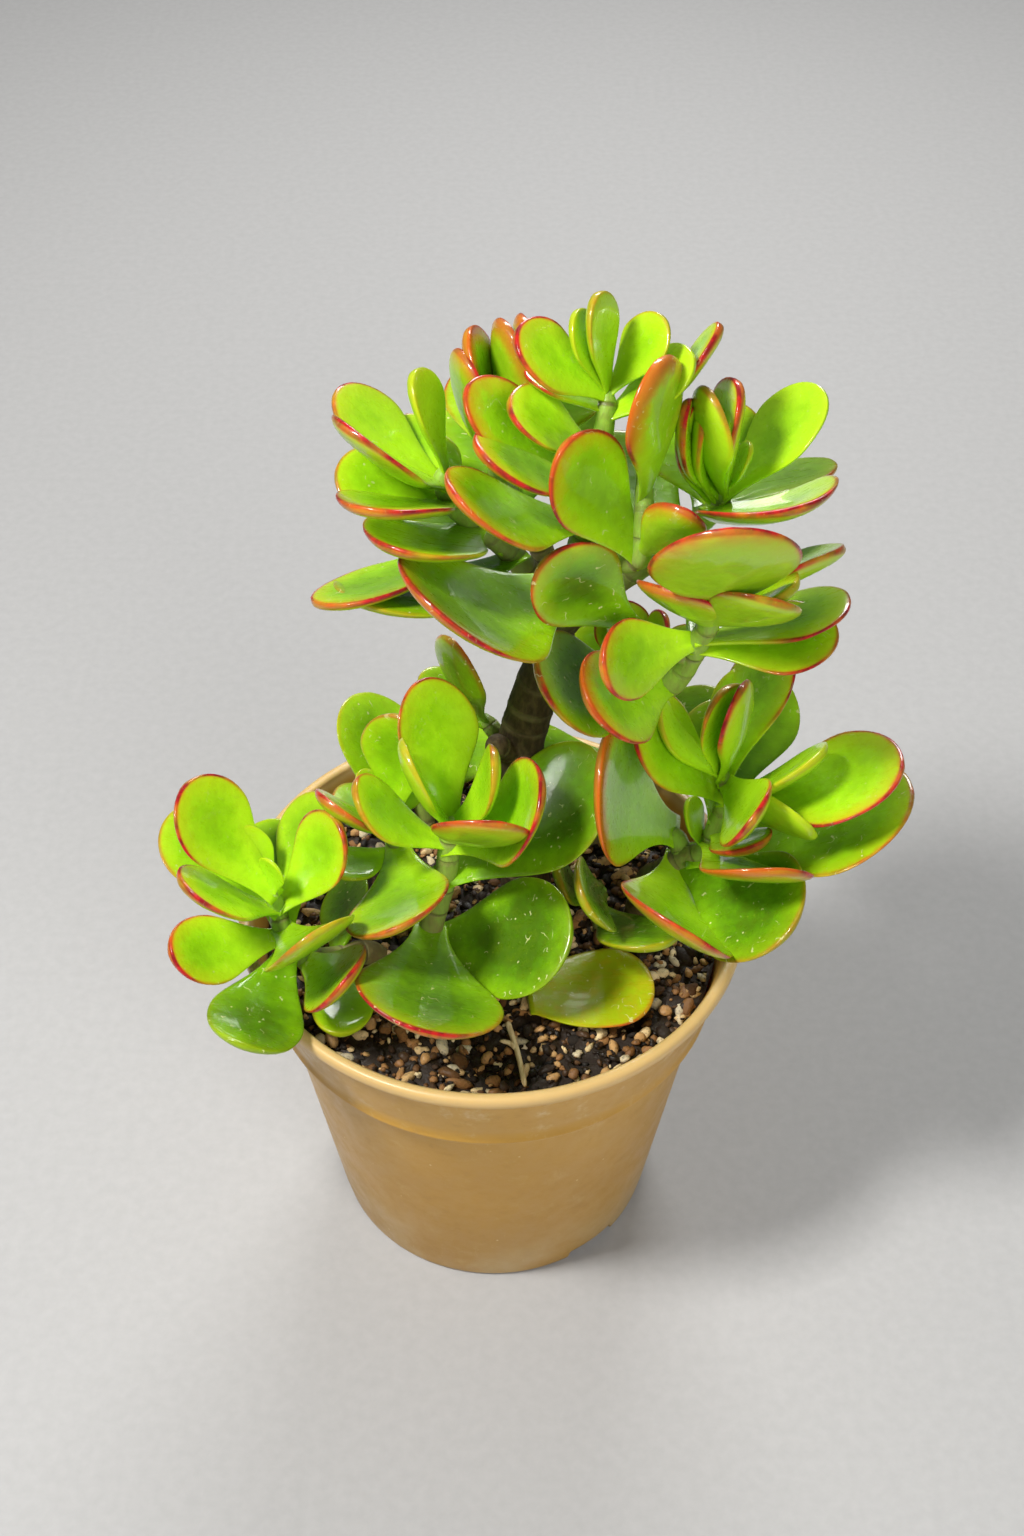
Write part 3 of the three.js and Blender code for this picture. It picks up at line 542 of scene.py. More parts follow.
def add_stem(skin, path, start, end, thick, thin, wood, rng, slot=0, sides=18, step=0.8, scars=7.0):
    """A round stem with ring scars; wood says how woody it is at its start and at its end."""
    samples = range(STEM_SAMPLES + 1)
    trial = [curve_point(path, start + (end - start) * i / STEM_SAMPLES)[0] for i in samples]
    lengths = np.concatenate(([0], np.cumsum(np.linalg.norm(np.diff(trial, axis=0), axis=1))))
    total = lengths[-1]
    count = max(6, int(total / step))
    marks = ring_scars(total, scars, rng)
    wave = ripple(rng, 5)
    cos, sin = circle(sides)
    side = np.array([1.0, 0.0, 0.0])
    rings = []
    scar = []
    woody = []
    for i in range(count + 1):
        reach = total * i / count
        share = float(np.interp(reach, lengths, np.linspace(0, 1, STEM_SAMPLES + 1)))
        place = start + (end - start) * share
        centre, along = curve_point(path, place)
        side = side - along * side.dot(along)
        side = side / np.linalg.norm(side)
        across = np.cross(along, side)
        near = np.abs(marks - reach).min()
        swell = 1 + SCAR_RELIEF * math.exp(-((near / SCAR_SWELL_REACH) ** 2))
        swell -= SCAR_RELIEF * math.exp(-((near / SCAR_GROOVE_REACH) ** 2))
        close = min(1.0, END_SIZE + (count - i) * END_GROWTH)
        radius = (thick + (thin - thick) * place / (len(path) - 1)) * STEM_SLIM
        lumps = STEM_LUMPS * wave(reach * 0.35 + 2 * cos, 2 * sin + reach * 0.2)
        radii = radius * swell * close * (1 + lumps)
        rings.append(centre + radii[:, None] * (cos[:, None] * side + sin[:, None] * across))
        scar.append(near)
        woody.append(wood[0] + (wood[1] - wood[0]) * i / count)
    skin.add(
        *tube(np.array(rings)), slot=slot,
        scar=np.concatenate([np.repeat(scar, sides), [NO_SCAR, NO_SCAR]]),
        wood=np.concatenate([np.repeat(woody, sides), wood]),
        tone=rng.uniform(0, 1),
    )


# Leaves

def half_width(u, petiole, taper):
    """The width along a leaf, 1 where widest: a stalk that widens to the shoulder, then a round tip."""
    rising = np.clip(u, 0, SHOULDER) / SHOULDER
    low = petiole + (1 - petiole) * np.sin(math.pi / 2 * rising**taper)
    falling = np.clip((u - SHOULDER) / (1 - SHOULDER), 0, 1)
    return np.where(u < SHOULDER, low, np.sqrt(1 - falling**2))


def along_leaf(low_places, tip_count):
    """Places along a leaf, closer together towards the tip."""
    tip = SHOULDER + (1 - SHOULDER) * np.sin(np.linspace(0, math.pi / 2, tip_count))
    return np.concatenate([low_places, tip])


LEAF_RINGS = along_leaf(np.linspace(-ROOT, SHOULDER, 17)[:-1], 14)
LEAF_RINGS[-1] = 0.9995
OUTLINE = along_leaf(np.linspace(0, SHOULDER, 30)[:-1], 40)

# One ring of a leaf: how far across each point is, and how far up, fuller below than above
RING_COS, RING_SIN = circle(LEAF_SIDES)
UPPER = RING_SIN > 0
RING_ACROSS = np.sign(RING_COS) * np.abs(RING_COS) ** 0.9
RING_UP = np.where(UPPER, UPPER_FULLNESS, LOWER_FULLNESS) * np.sign(RING_SIN)
RING_UP = RING_UP * np.abs(RING_SIN) ** np.where(UPPER, 1.15, 0.95)


def leaf_directions(heading, rise, roll):
    """The directions along a leaf, across it and up from its face."""
    h, r, lean = (math.radians(value) for value in (heading, rise, roll))
    out = np.array([math.cos(h) * math.cos(r), math.sin(h) * math.cos(r), math.sin(r)])
    level = np.array([-math.sin(h), math.cos(h), 0])
    across = level * math.cos(lean) + np.cross(out, level) * math.sin(lean)
    return out, across, np.cross(out, across)


def leaf_heights(half, length, width, cup, rng):
    """How far each point lies above the leaf's middle: cup, thickness, groove and waviness."""
    u = LEAF_RINGS
    thick = LEAF_THICKNESS * min(1, length / THICK_LENGTH) * np.minimum(1, 1.12 * np.sqrt(half))
    groove = -GROOVE_DEPTH * np.exp(-((RING_ACROSS / GROOVE_WIDTH) ** 2)) * UPPER
    groove = groove[None, :] * np.clip(1 - u * GROOVE_FADE, 0, 1)[:, None]
    wide = ripple(rng, 5)(u[:, None] * 9, 3.4 * RING_ACROSS[None, :] * half[:, None])
    height = cup * width * (half**2)[:, None] * (RING_ACROSS**2)[None, :] / 2
    height = height + (RING_UP[None, :] + groove) * thick[:, None]
    return height + FACE_WAVE * wide * (half**1.5)[:, None] * min(1, length / WAVY_LENGTH)


def leaf_rings(base, shape, rng, petiole, taper):
    """The rings of a bent leaf, and how far each of their points lies from its midline."""
    heading, rise, length, width, roll, bend, cup = shape
    out, across, face = leaf_directions(heading, rise, roll)
    u = LEAF_RINGS
    half = half_width(u, petiole, taper)
    full = math.radians(bend) or 1e-6
    turn = full * (u - 0.5)
    reach = (np.sin(turn) + math.sin(full / 2)) / full
    lift = (math.cos(full / 2) - np.cos(turn)) / full
    centre = np.asarray(base, float) + length * (reach[:, None] * out + lift[:, None] * face)
    normal = np.cos(turn)[:, None] * face - np.sin(turn)[:, None] * out
    edge = 1 + EDGE_WAVE * np.sin(u * rng.uniform(7, 12) + rng.uniform(0, 6))
    spread = RING_ACROSS[None, :] * (half * edge)[:, None] * width / 2
    height = leaf_heights(half, length, width, cup, rng)
    rings = centre[:, None] + spread[..., None] * across + height[..., None] * normal[:, None]
    return rings, spread


def rim_distance(length, width, spread, petiole, taper):
    """How far each point is from the leaf's edge, counted shorter on a wide leaf."""
    flat = np.stack(np.broadcast_arrays(LEAF_RINGS[:, None] * length, spread), axis=-1).reshape(-1, 2)
    half = half_width(OUTLINE, petiole, taper) * width / 2
    edges = np.concatenate([np.stack([OUTLINE * length, side * half], axis=-1) for side in (1, -1)])
    rim = np.linalg.norm(flat[:, None] - edges[None], axis=-1).min(axis=1)
    return rim * (MEDIUM_WIDTH / width) ** 0.6


def sun_share(rings):
    """How much of its leaf's red each point takes, more where it faces the sun."""
    arm = rings - rings.mean(axis=(0, 1))
    facing = arm @ np.array(SUN) / np.linalg.norm(arm, axis=-1)
    return np.clip(SUN_SHARE + SUN_SWING * facing, *SUN_LIMITS).reshape(-1)


def add_leaf(skin, base, shape, age, blush, rng, petiole=PETIOLE, taper=TAPER):
    """A thick leaf with a rounded edge, from heading, rise, length, width, roll, bend and cup."""
    length, width = shape[2:4]
    rings, spread = leaf_rings(base, shape, rng, petiole, taper)
    rim = rim_distance(length, width, spread, petiole, taper)
    skin.add(
        *tube(rings),
        rim=np.concatenate([rim, [width * PETIOLE / 2, 0]]),
        along=np.concatenate([np.repeat(LEAF_RINGS, LEAF_SIDES), [0, 1]]),
        side=np.concatenate([np.tile(RING_SIN, len(LEAF_RINGS)), [0, 0]]),
        age=age,
        blush=np.concatenate([blush * sun_share(rings), [0, blush]]),
        tone=rng.uniform(0, 1),
    )


def pair_rows(places, heading, rise, length, width):
    """Pairs of leaves up a stem, each pair a quarter turn from the one below it."""
    rows = []
    for i, place in enumerate(places):
        part = i / (len(places) - 1)
        shrink = 1 - PAIR_SHRINK * part
        for side in (0, 180):
            turn = heading + 90 * i + side + PAIR_WANDER * math.sin(3 * i + side)
            roll = PAIR_WANDER * math.cos(2 * i + side)
            reach = length * shrink * (SECOND_OF_PAIR if side else 1)
            lift = rise + PAIR_RISE * part
            age, blush = 0.8 - 0.6 * part, 0.3 + 0.4 * part
            rows.append((place, turn, lift, reach, width * shrink, roll, PAIR_BEND, PAIR_CUP, age, blush))
    return rows


# Materials

LEAF_GREENS = (
    (0.0, (0.42, 0.74, 0.012)),
    (0.25, (0.3, 0.62, 0.006)),
    (0.55, (0.19, 0.44, 0.004)),
    (0.85, (0.07, 0.22, 0.004)),
    (1.0, (0.035, 0.12, 0.004)),
)
LEAF_TINT = (0.3, 0.42, 0.008)
OLIVE_TINT = (0.44, 0.38, 0.008)
YELLOW_MARGIN = (0.55, 0.52, 0.01)
ORANGE_MARGIN = (0.64, 0.125, 0.014)
DARK_CRIMSON = (0.24, 0.006, 0.012)
CRIMSON = (0.5, 0.014, 0.014)
RED_WASH = (0.56, 0.13, 0.008)
DULL_GREEN = (0.3, 0.44, 0.015)
BROWN_FLUSH = (0.56, 0.13, 0.02)
PALE_PORE = (0.5, 0.62, 0.05)
LEAF_DUST = (0.72, 0.72, 0.34)

BARK = (0.05, 0.03, 0.012)
STEM_AGES = (
    (0.0, (0.3, 0.5, 0.05)),
    (0.3, (0.25, 0.36, 0.06)),
    (0.5, (0.24, 0.2, 0.07)),
    (0.72, BARK),
    (1.0, tuple(part * 0.55 for part in BARK)),
)
BARK_GRAIN = (0.17, 0.115, 0.05)
SCAR_LINE = (0.1, 0.07, 0.035)
SCAR_HALO = (0.22, 0.19, 0.07)

GRAIN_TONES = (
    (0.0, (0.008, 0.006, 0.004)),
    (0.35, (0.025, 0.014, 0.007)),
    (0.52, (0.14, 0.062, 0.018)),
    (0.66, (0.34, 0.16, 0.05)),
    (0.78, (0.6, 0.35, 0.13)),
    (0.9, (0.8, 0.62, 0.32)),
    (1.0, (0.6, 0.52, 0.36)),
)
GRAIN_PITS = (0.02, 0.012, 0.006)

PLASTIC_TANS = (
    (0.1, (0.37, 0.195, 0.022)),
    (0.5, (0.46, 0.245, 0.028)),
    (0.9, (0.54, 0.3, 0.044)),
)
SCUFF = (0.58, 0.42, 0.18)
STAIN = (0.3, 0.17, 0.05)
RUBBED = (0.66, 0.52, 0.28)
HAZE = (0.5, 0.4, 0.22)
# painted shade: the dark line under the band's step
PAINTED_BAND_SHADE = (0.2, 0.11, 0.02)
# painted highlight on the lip's top
PAINTED_LIP_HIGHLIGHT = (0.74, 0.56, 0.28)
POT_DUST = (0.74, 0.62, 0.38)

STRAW_TONES = ((0.3, (0.55, 0.38, 0.16)), (0.55, (0.8, 0.62, 0.32)), (0.8, (0.9, 0.78, 0.5)))
FLOOR_TONES = ((0.3, (0.42, 0.42, 0.42)), (0.7, (0.45, 0.45, 0.45)))

SOCKETS = {
    "color": "Base Color", "rough": "Roughness", "normal": "Normal", "ior": "IOR",
    "sub": "Subsurface Weight", "sub_radius": "Subsurface Radius", "sub_scale": "Subsurface Scale",
    "coat": "Coat Weight", "coat_rough": "Coat Roughness",
}


class Nodes:
    """A short way to write a material's node tree."""

    def __init__(self, name):
        self.material = bpy.data.materials.new(name)
        self.material.use_nodes = True
        self.tree = self.material.node_tree
        self.tree.nodes.clear()
        self.new = self.tree.nodes.new
        self.shader = self.new("ShaderNodeBsdfPrincipled")
        output = self.new("ShaderNodeOutputMaterial")
        self.link(self.shader.outputs["BSDF"], output.inputs["Surface"])
        self.where = self.new("ShaderNodeTexCoord").outputs["Object"]

    def link(self, source, target):
        if isinstance(source, (int, float, tuple)):
            target.default_value = source
        else:
            self.tree.links.new(source, target)

    def value(self, name):
        """One of the values that the points carry."""
        node = self.new("ShaderNodeAttribute")
        node.attribute_name = name
        return node.outputs["Fac"]

    def height(self):
        """The height above the surface that the pot stands on, in metres."""
        node = self.new("ShaderNodeSeparateXYZ")
        self.link(self.where, node.inputs[0])
        return node.outputs[2]

    def math(self, operation, a, b=0.0, c=0.0):
        node = self.new("ShaderNodeMath")
        node.operation = operation
        for socket, source in zip(node.inputs, (a, b, c)):
            self.link(source, socket)
        return node.outputs[0]

    def times(self, a, b):
        return self.math("MULTIPLY", a, b)

    def plus(self, a, b):
        return self.math("ADD", a, b)

    def span(self, source, low, high, to_low=0.0, to_high=1.0):
        """A smooth step of a value from one range to another."""
        node = self.new("ShaderNodeMapRange")
        node.interpolation_type = "SMOOTHSTEP"
        for socket, part in zip(node.inputs[:5], (source, low, high, to_low, to_high)):
            self.link(part, socket)
        return node.outputs[0]

    def noise(self, size, detail=3.0, rough=0.55, stretch=(1, 1, 1)):
        """Noise whose blobs are about this many mm wide."""
        mapping = self.new("ShaderNodeMapping")
        self.link(self.where, mapping.inputs["Vector"])
        mapping.inputs["Scale"].default_value = stretch
        node = self.new("ShaderNodeTexNoise")
        self.link(mapping.outputs[0], node.inputs["Vector"])
        node.inputs["Scale"].default_value = 1 / (size * MM)
        node.inputs["Detail"].default_value = detail
        node.inputs["Roughness"].default_value = rough
        return node.outputs["Fac"]

    def specks(self, spacing, inner, outer):
        """Small round specks about this many mm apart: 1 inside each and 0 round it."""
        node = self.new("ShaderNodeTexVoronoi")
        self.link(self.where, node.inputs["Vector"])
        node.inputs["Scale"].default_value = 1 / (spacing * MM)
        return self.span(node.outputs["Distance"], inner, outer, 1.0, 0.0)

    def ramp(self, source, stops):
        node = self.new("ShaderNodeValToRGB")
        self.link(source, node.inputs[0])
        marks = node.color_ramp.elements
        while len(marks) < len(stops):
            marks.new(0.5)
        for mark, (place, color) in zip(marks, stops):
            mark.position = place
            mark.color = (*color, 1)
        return node.outputs["Color"]

    def mix(self, amount, a, b):
        node = self.new("ShaderNodeMix")
        node.data_type = "RGBA"
        self.link(amount, node.inputs[0])
        for socket, source in ((node.inputs[6], a), (node.inputs[7], b)):
            self.link((*source, 1) if isinstance(source, tuple) else source, socket)
        return node.outputs[2]

    def bump(self, height, depth, strength=1.0, under=None):
        """A relief this many mm deep."""
        node = self.new("ShaderNodeBump")
        node.inputs["Distance"].default_value = depth * MM
        node.inputs["Strength"].default_value = strength
        self.link(height, node.inputs["Height"])
        if under is not None:
            self.link(under, node.inputs["Normal"])
        return node.outputs[0]

    def set(self, **sockets):
        for key, source in sockets.items():
            self.link(source, self.shader.inputs[SOCKETS[key]])
        return self.material


def leaf_green(n, tint, tinted, broad, mottle):
    """Bright young and dark old flesh, paler towards the edge and mottled with a tint."""
    grown = n.plus(n.value("age"), n.math("MULTIPLY_ADD", broad, 0.6, -0.3))
    grown = n.plus(grown, n.math("MULTIPLY_ADD", n.value("tone"), 0.14, -0.07))
    grown = n.plus(grown, n.span(mottle, 0.3, 0.7, -0.07, 0.07))
    grown = n.math("SUBTRACT", grown, n.span(n.value("rim"), 0.5, 9.0, 0.24, -0.1))
    green = n.ramp(grown, LEAF_GREENS)
    return n.mix(n.span(mottle, 0.4, 0.75, 0.6 * tinted, tinted), green, tint)


def sun_margins(n, color, reach, broad, mottle):
    """Yellow, then orange and a thin red line at the edge, and a wash over the reddest leaves."""
    rim = n.value("rim")
    near = n.math("DIVIDE", rim, n.math("MULTIPLY_ADD", mottle, 1.3, 0.35))
    color = n.mix(n.times(reach, n.span(near, 0.3, 5.5, 0.75, 0.0)), color, YELLOW_MARGIN)
    color = n.mix(n.times(reach, n.span(near, 0.2, 1.3, 0.9, 0.0)), color, ORANGE_MARGIN)
    red = n.times(n.span(reach, 0.08, 0.5), n.span(rim, 0.25, 0.75, 1.0, 0.0))
    red = n.times(red, n.span(broad, 0.3, 0.55, 0.35, 1.0))
    color = n.mix(red, color, n.mix(n.span(mottle, 0.4, 0.6), DARK_CRIMSON, CRIMSON))
    wash = n.times(n.span(reach, 0.85, 1.5), n.span(near, 0.3, 5.0, 0.95, 0.0))
    return n.mix(wash, color, RED_WASH)


def underside(n, color, reach, broad):
    """The colour of the underside: duller, with a brownish red flush near its edge."""
    dull = n.mix(0.25, color, DULL_GREEN)
    flush = n.times(n.span(reach, 0.45, 1.0), n.span(broad, 0.35, 0.65, 0.1, 0.6))
    flush = n.times(flush, n.span(n.value("rim"), 0.6, 3.5, 1.0, 0.05))
    return n.mix(flush, dull, BROWN_FLUSH)


def dust_and_scratches(n):
    """Where a leaf has dust specks and fine pale scratches, more with age."""
    wisp = n.math("ABSOLUTE", n.math("SUBTRACT", n.noise(5, 2), 0.5))
    scratch = n.times(n.span(wisp, 0.004, 0.011, 0.8, 0.0), n.span(n.noise(2.1, 1), 0.58, 0.66))
    dust = n.math("MAXIMUM", n.specks(3.6, 0.04, 0.09), scratch)
    return n.times(dust, n.span(n.value("age"), 0.1, 0.7, 0.15, 0.9))


def leaf_material(name, tint, tinted, coat):
    """Waxy leaf flesh with sun colour at its edges, water pores and dust."""
    n = Nodes(name)
    broad = n.noise(9, 2)
    mottle = n.noise(2.4, 4, 0.6)
    fine = n.noise(0.7, 3)
    reach = n.times(n.value("blush"), n.span(n.value("along"), 0.2, 0.85, 0.1, 1.0))
    under = n.span(n.value("side"), -0.5, -0.15, 1.0, 0.0)
    color = leaf_green(n, tint, tinted, broad, mottle)
    color = sun_margins(n, color, reach, broad, mottle)
    color = n.mix(under, color, underside(n, color, reach, broad))
    pores = n.times(n.specks(1.9, 0.05, 0.14), n.span(fine, 0.4, 0.65, 0.0, 0.35))
    color = n.mix(pores, color, PALE_PORE)
    dust = dust_and_scratches(n)
    color = n.mix(dust, color, LEAF_DUST)
    streaks = n.noise(1.2, 2, 0.5, (0.25, 1, 1))
    rough = n.plus(n.span(streaks, 0.35, 0.7, 0.27, 0.4), n.times(under, 0.1))
    rough = n.plus(rough, n.times(dust, 0.3))
    relief = n.bump(n.noise(4.2, 3), 0.45, 0.5)
    relief = n.bump(fine, 0.05, 0.5, relief)
    relief = n.bump(pores, 0.06, 0.6, relief)
    return n.set(
        color=color, rough=rough, normal=relief, sub=0.16, sub_radius=(0.8, 1.0, 0.1), sub_scale=0.0018,
        coat=coat, coat_rough=0.07, ior=1.33,
    )


def stem_material():
    """Green stem that turns to dry bark, with a dark line and a pale halo at each ring scar."""
    n = Nodes("jade_stem")
    wood = n.value("wood")
    scar = n.value("scar")
    patches = n.noise(5, 4, 0.6)
    grain = n.noise(1.1, 4, 0.6, (1, 1, 0.35))
    color = n.ramp(n.plus(wood, n.math("MULTIPLY_ADD", patches, 0.5, -0.25)), STEM_AGES)
    color = n.mix(n.span(grain, 0.35, 0.7, 0.0, 0.35), color, BARK_GRAIN)
    line = n.span(scar, 0.15, 0.6, 1.0, 0.0)
    color = n.mix(n.times(line, 0.7), color, SCAR_LINE)
    halo = n.times(n.span(scar, 0.5, 1.3, 1.0, 0.0), n.span(patches, 0.4, 0.6, 0.0, 0.35))
    color = n.mix(halo, color, SCAR_HALO)
    rough = n.span(wood, 0.2, 0.7, 0.42, 0.8)
    relief = n.bump(grain, 0.35, 0.7)
    relief = n.bump(line, -0.25, 0.8, relief)
    return n.set(color=color, rough=rough, normal=relief, sub=0.08, sub_scale=0.002)


def mix_material():
    """Grains from black peat over bark to pale grit, with dark pits."""
    n = Nodes("potting_mix_grains")
    fine = n.noise(0.7, 4, 0.6)
    tone = n.math("SUBTRACT", n.value("tone"), 0.06)
    color = n.ramp(n.math("MULTIPLY_ADD", fine, 0.12, tone), GRAIN_TONES)
    color = n.mix(n.span(fine, 0.5, 0.7, 0.0, 0.55), color, GRAIN_PITS)
    rough = n.span(n.noise(2.5), 0.35, 0.65, 0.38, 0.9)
    return n.set(color=color, rough=rough, normal=n.bump(fine, 0.3, 0.8))


def pot_material():
    """Thin tan plastic: cloudy, scuffed, stained, rubbed near the rim and hazy near the foot, with
    painted light that pales it upwards, a painted highlight on the lip and a painted shade line under the
    band.
    """
    n = Nodes("tan_plastic")
    height = n.height()
    clouds = n.noise(22, 4, 0.55)
    film = n.noise(5, 5, 0.65)
    # painted light: the plastic grows paler towards the top, so the lower wall carries painted shade
    color = n.ramp(n.math("MULTIPLY_ADD", clouds, 0.5, n.span(height, *PAINTED_LIGHT_RISE, 0.0, 0.5)), PLASTIC_TANS)
    scuffs = n.noise(1.6, 5, 0.7, (1, 1, 0.18))
    color = n.mix(n.span(scuffs, 0.62, 0.78, 0.0, 0.35), color, SCUFF)
    color = n.mix(n.times(n.span(film, 0.55, 0.75), 0.25), color, STAIN)
    worn = n.span(n.noise(9, 5, 0.7), 0.56, 0.72)
    color = n.mix(n.times(worn, n.span(height, *RUBBED_UP, 0.15, 0.6)), color, RUBBED)
    haze = n.times(n.span(height, *HAZE_DOWN, 0.45, 0.0), n.span(clouds, 0.35, 0.65))
    color = n.mix(haze, color, HAZE)
    # painted shade: a dark line under the band's step, where the band shades the wall below it
    from_band_shade = n.math("ABSOLUTE", n.math("SUBTRACT", height, BAND_SHADE_HEIGHT))
    color = n.mix(n.span(from_band_shade, *BAND_SHADE_REACH, 0.55, 0.0), color, PAINTED_BAND_SHADE)
    # painted highlight: the top of the lip is made paler, where the light catches it
    color = n.mix(n.times(n.span(height, *LIP_HIGHLIGHT_SPAN), 0.55), color, PAINTED_LIP_HIGHLIGHT)
    dust = n.times(n.specks(6.5, 0.02, 0.055), 0.7)
    color = n.mix(dust, color, POT_DUST)
    rough = n.plus(n.span(film, 0.3, 0.7, 0.34, 0.5), n.times(dust, 0.2))
    relief = n.bump(n.noise(14, 2), 0.5, 0.35)
    relief = n.bump(n.noise(0.5, 3), 0.04, 0.5, relief)
    return n.set(
        color=color, rough=rough, normal=relief, sub=0.25, sub_radius=(1.0, 0.75, 0.4), sub_scale=0.003,
        coat=0.15, coat_rough=0.3,
    )


def straw_material():
    n = Nodes("dry_straw")
    fibre = n.noise(0.6, 3, 0.6, (1, 0.2, 1))
    return n.set(color=n.ramp(fibre, STRAW_TONES), rough=0.75, normal=n.bump(fibre, 0.15, 0.8))


def floor_material():
    n = Nodes("pale_floor")
    paper = n.noise(3, 3)
    return n.set(color=n.ramp(paper, FLOOR_TONES), rough=0.75, normal=n.bump(paper, 0.05, 0.3))


LEAF_WAX = leaf_material("jade_leaf", LEAF_TINT, tinted=0.22, coat=0.65)
OLIVE_WAX = leaf_material("olive_leaf", OLIVE_TINT, tinted=0.85, coat=0.1)
STEM_SKIN = stem_material()
PLASTIC = pot_material()
GRAINS = mix_material()
DRY_STRAW = straw_material()


# Pieces

def dress(skin, node, slot, *materials):
    """Makes a piece of the skin, in place of a node of the solid model."""
    obj = skin.piece(node + "_dressed", materials)
    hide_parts(node)
    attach(obj, "root")


def pot_profile(cut):
    """The pot's outline from the middle of its base round to its floor; cut at a foot notch."""
    slope = (WALL_TOP_RADIUS - BASE_RADIUS) / BAND_BOTTOM_HEIGHT
    foot = NOTCH_HEIGHT if cut else 0.0
    root = BASE_RADIUS - NOTCH_DEPTH
    grown = BASE_RADIUS + slope * foot
    base = [(0, 0), (18, 0), (root - 0.3, 0), (root, foot * 0.85), (root + 0.4, foot)]
    toe = [(grown + out, foot + up) for out, up in TOE_EDGE]
    wall = [(BASE_RADIUS + slope * z, z) for z in WALL_HEIGHTS]
    radius, height = BAND_EDGE[-1]
    widening = BAND_TOP_RADIUS - radius
    band = [(radius + widening * t, height + BAND_RISE * t) for t in (0.2, 0.45, 0.7, 0.9, 1)]
    inner = []
    walls = INNER_WALL[::-1]
    for (top_radius, top), (low_radius, low) in zip(walls, walls[1:]):
        for t in (0, 0.3, 0.65):
            inner.append((top_radius + (low_radius - top_radius) * t, top + (low - top) * t))
    floor = [walls[-1], (BASE_RADIUS - WALL - 1.5, FLOOR - 0.02), (16, FLOOR), (0, FLOOR)]
    return [*base, *toe, *wall, *BAND_EDGE, *band, *LIP_EDGE, *inner, *floor]


def pot_columns():
    """The headings of the pot's columns of points, and which of them a notch cuts."""
    half = math.degrees(NOTCH_WIDTH / 2 / (BASE_RADIUS - 1))
    share = 360 / NOTCHES
    columns = []
    for i in range(NOTCHES):
        centre = NOTCH_ANGLE + i * share
        for step in np.arange(-share / 2, share / 2, POT_STEP):
            if abs(abs(step) - half) > NOTCH_CLEAR:
                columns.append((centre + step, abs(step) < half))
        for side in (-1, 1):
            columns.append((centre + side * half + side * NOTCH_OUTSIDE, False))
            columns.append((centre + side * half - side * NOTCH_INSIDE, True))
    return sorted(columns)


def pot():
    """A turned shell, very slightly out of round, with notches at its foot."""
    wave = ripple(random.Random(POT_SEED), 6)
    columns = []
    for angle, cut in pot_columns():
        turn = math.radians(angle)
        line = np.array(pot_profile(cut))
        bulge = OUT_OF_ROUND * wave(2.2 * math.cos(turn), 2.2 * math.sin(turn))
        radius = line[:, 0] * (1 + bulge * (line[:, 1] / POT_HEIGHT))
        columns.append(np.stack([radius * math.cos(turn), radius * math.sin(turn), line[:, 1]], axis=-1))
    skin = Skin()
    skin.add(*tube(np.array(columns).transpose(1, 0, 2)))
    dress(skin, "pot", "pot_plastic", PLASTIC)


def inner_radius(height):
    """The radius of the pot's inner face at a height."""
    radii, heights = zip(*INNER_WALL)
    return float(np.interp(height, heights, radii))


def mix_top(x, y):
    """The height of the mix: a low dome with soft lumps."""
    lumps = np.sin(x * 0.61 + 1.3) * np.sin(y * 0.53 + 0.4)
    lumps = lumps + 0.6 * np.sin(x * 1.13 - y * 0.71) * np.sin(y * 0.97 + x * 0.37 + 2)
    return MIX_HEIGHT + LUMP * lumps - DOME * (x * x + y * y)


def mix_body(skin, edge, rng):
    """The body of the mix, with a fine lumpy top."""
    cos, sin = circle(MIX_SIDES)
    rings = []
    for height in (FLOOR + MIX_GAP, BAND_BOTTOM_HEIGHT, BAND_STEP_HEIGHT):
        radius = inner_radius(height) - MIX_GAP
        rings.append(np.stack([radius * cos, radius * sin, np.full(MIX_SIDES, height)], axis=-1))
    wave = ripple(rng, 9)
    for part in np.linspace(1, 0.01, MIX_RINGS):
        x, y = edge * part * cos, edge * part * sin
        z = mix_top(x, y) + MIX_RIPPLE * wave(x * 1.9, y * 1.9) - MIX_SINK
        rings.append(np.stack([x, y, z], axis=-1))
    skin.add(*tube(np.array(rings)), tone=BODY_TONE)


def ball(level):
    """The points and faces of a unit ball of triangles."""
    bm = bmesh.new()
    bmesh.ops.create_icosphere(bm, subdivisions=level, radius=1)
    points = np.array([v.co[:] for v in bm.verts])
    faces = np.array([[v.index for v in f.verts] for f in bm.faces])
    bm.free()
    return points, faces


def add_grain(skin, rng, base, place, size, tone):
    """One crumb or chip: a lumpy, stretched and turned ball."""
    points, faces = base
    lumps = 1 + GRAIN_LUMPS * ripple(rng, 4)(points[:, 0] * 4 + points[:, 2] * 3, points[:, 1] * 4)
    stretch = np.array([rng.uniform(*limits) for limits in GRAIN_STRETCH])
    shaped = points * lumps[:, None] * stretch * size
    flat = rng.uniform(0, math.tau)
    tilt = rng.gauss(0, GRAIN_TILT)
    c, s = math.cos(flat), math.sin(flat)
    spin = np.array([[c, -s, 0], [s, c, 0], [0, 0, 1]])
    c, s = math.cos(tilt), math.sin(tilt)
    lean = np.array([[c, 0, s], [0, 1, 0], [-s, 0, c]])
    shaped = shaped @ (spin @ lean).T
    skin.add(shaped + np.array(place), faces, tone=tone)


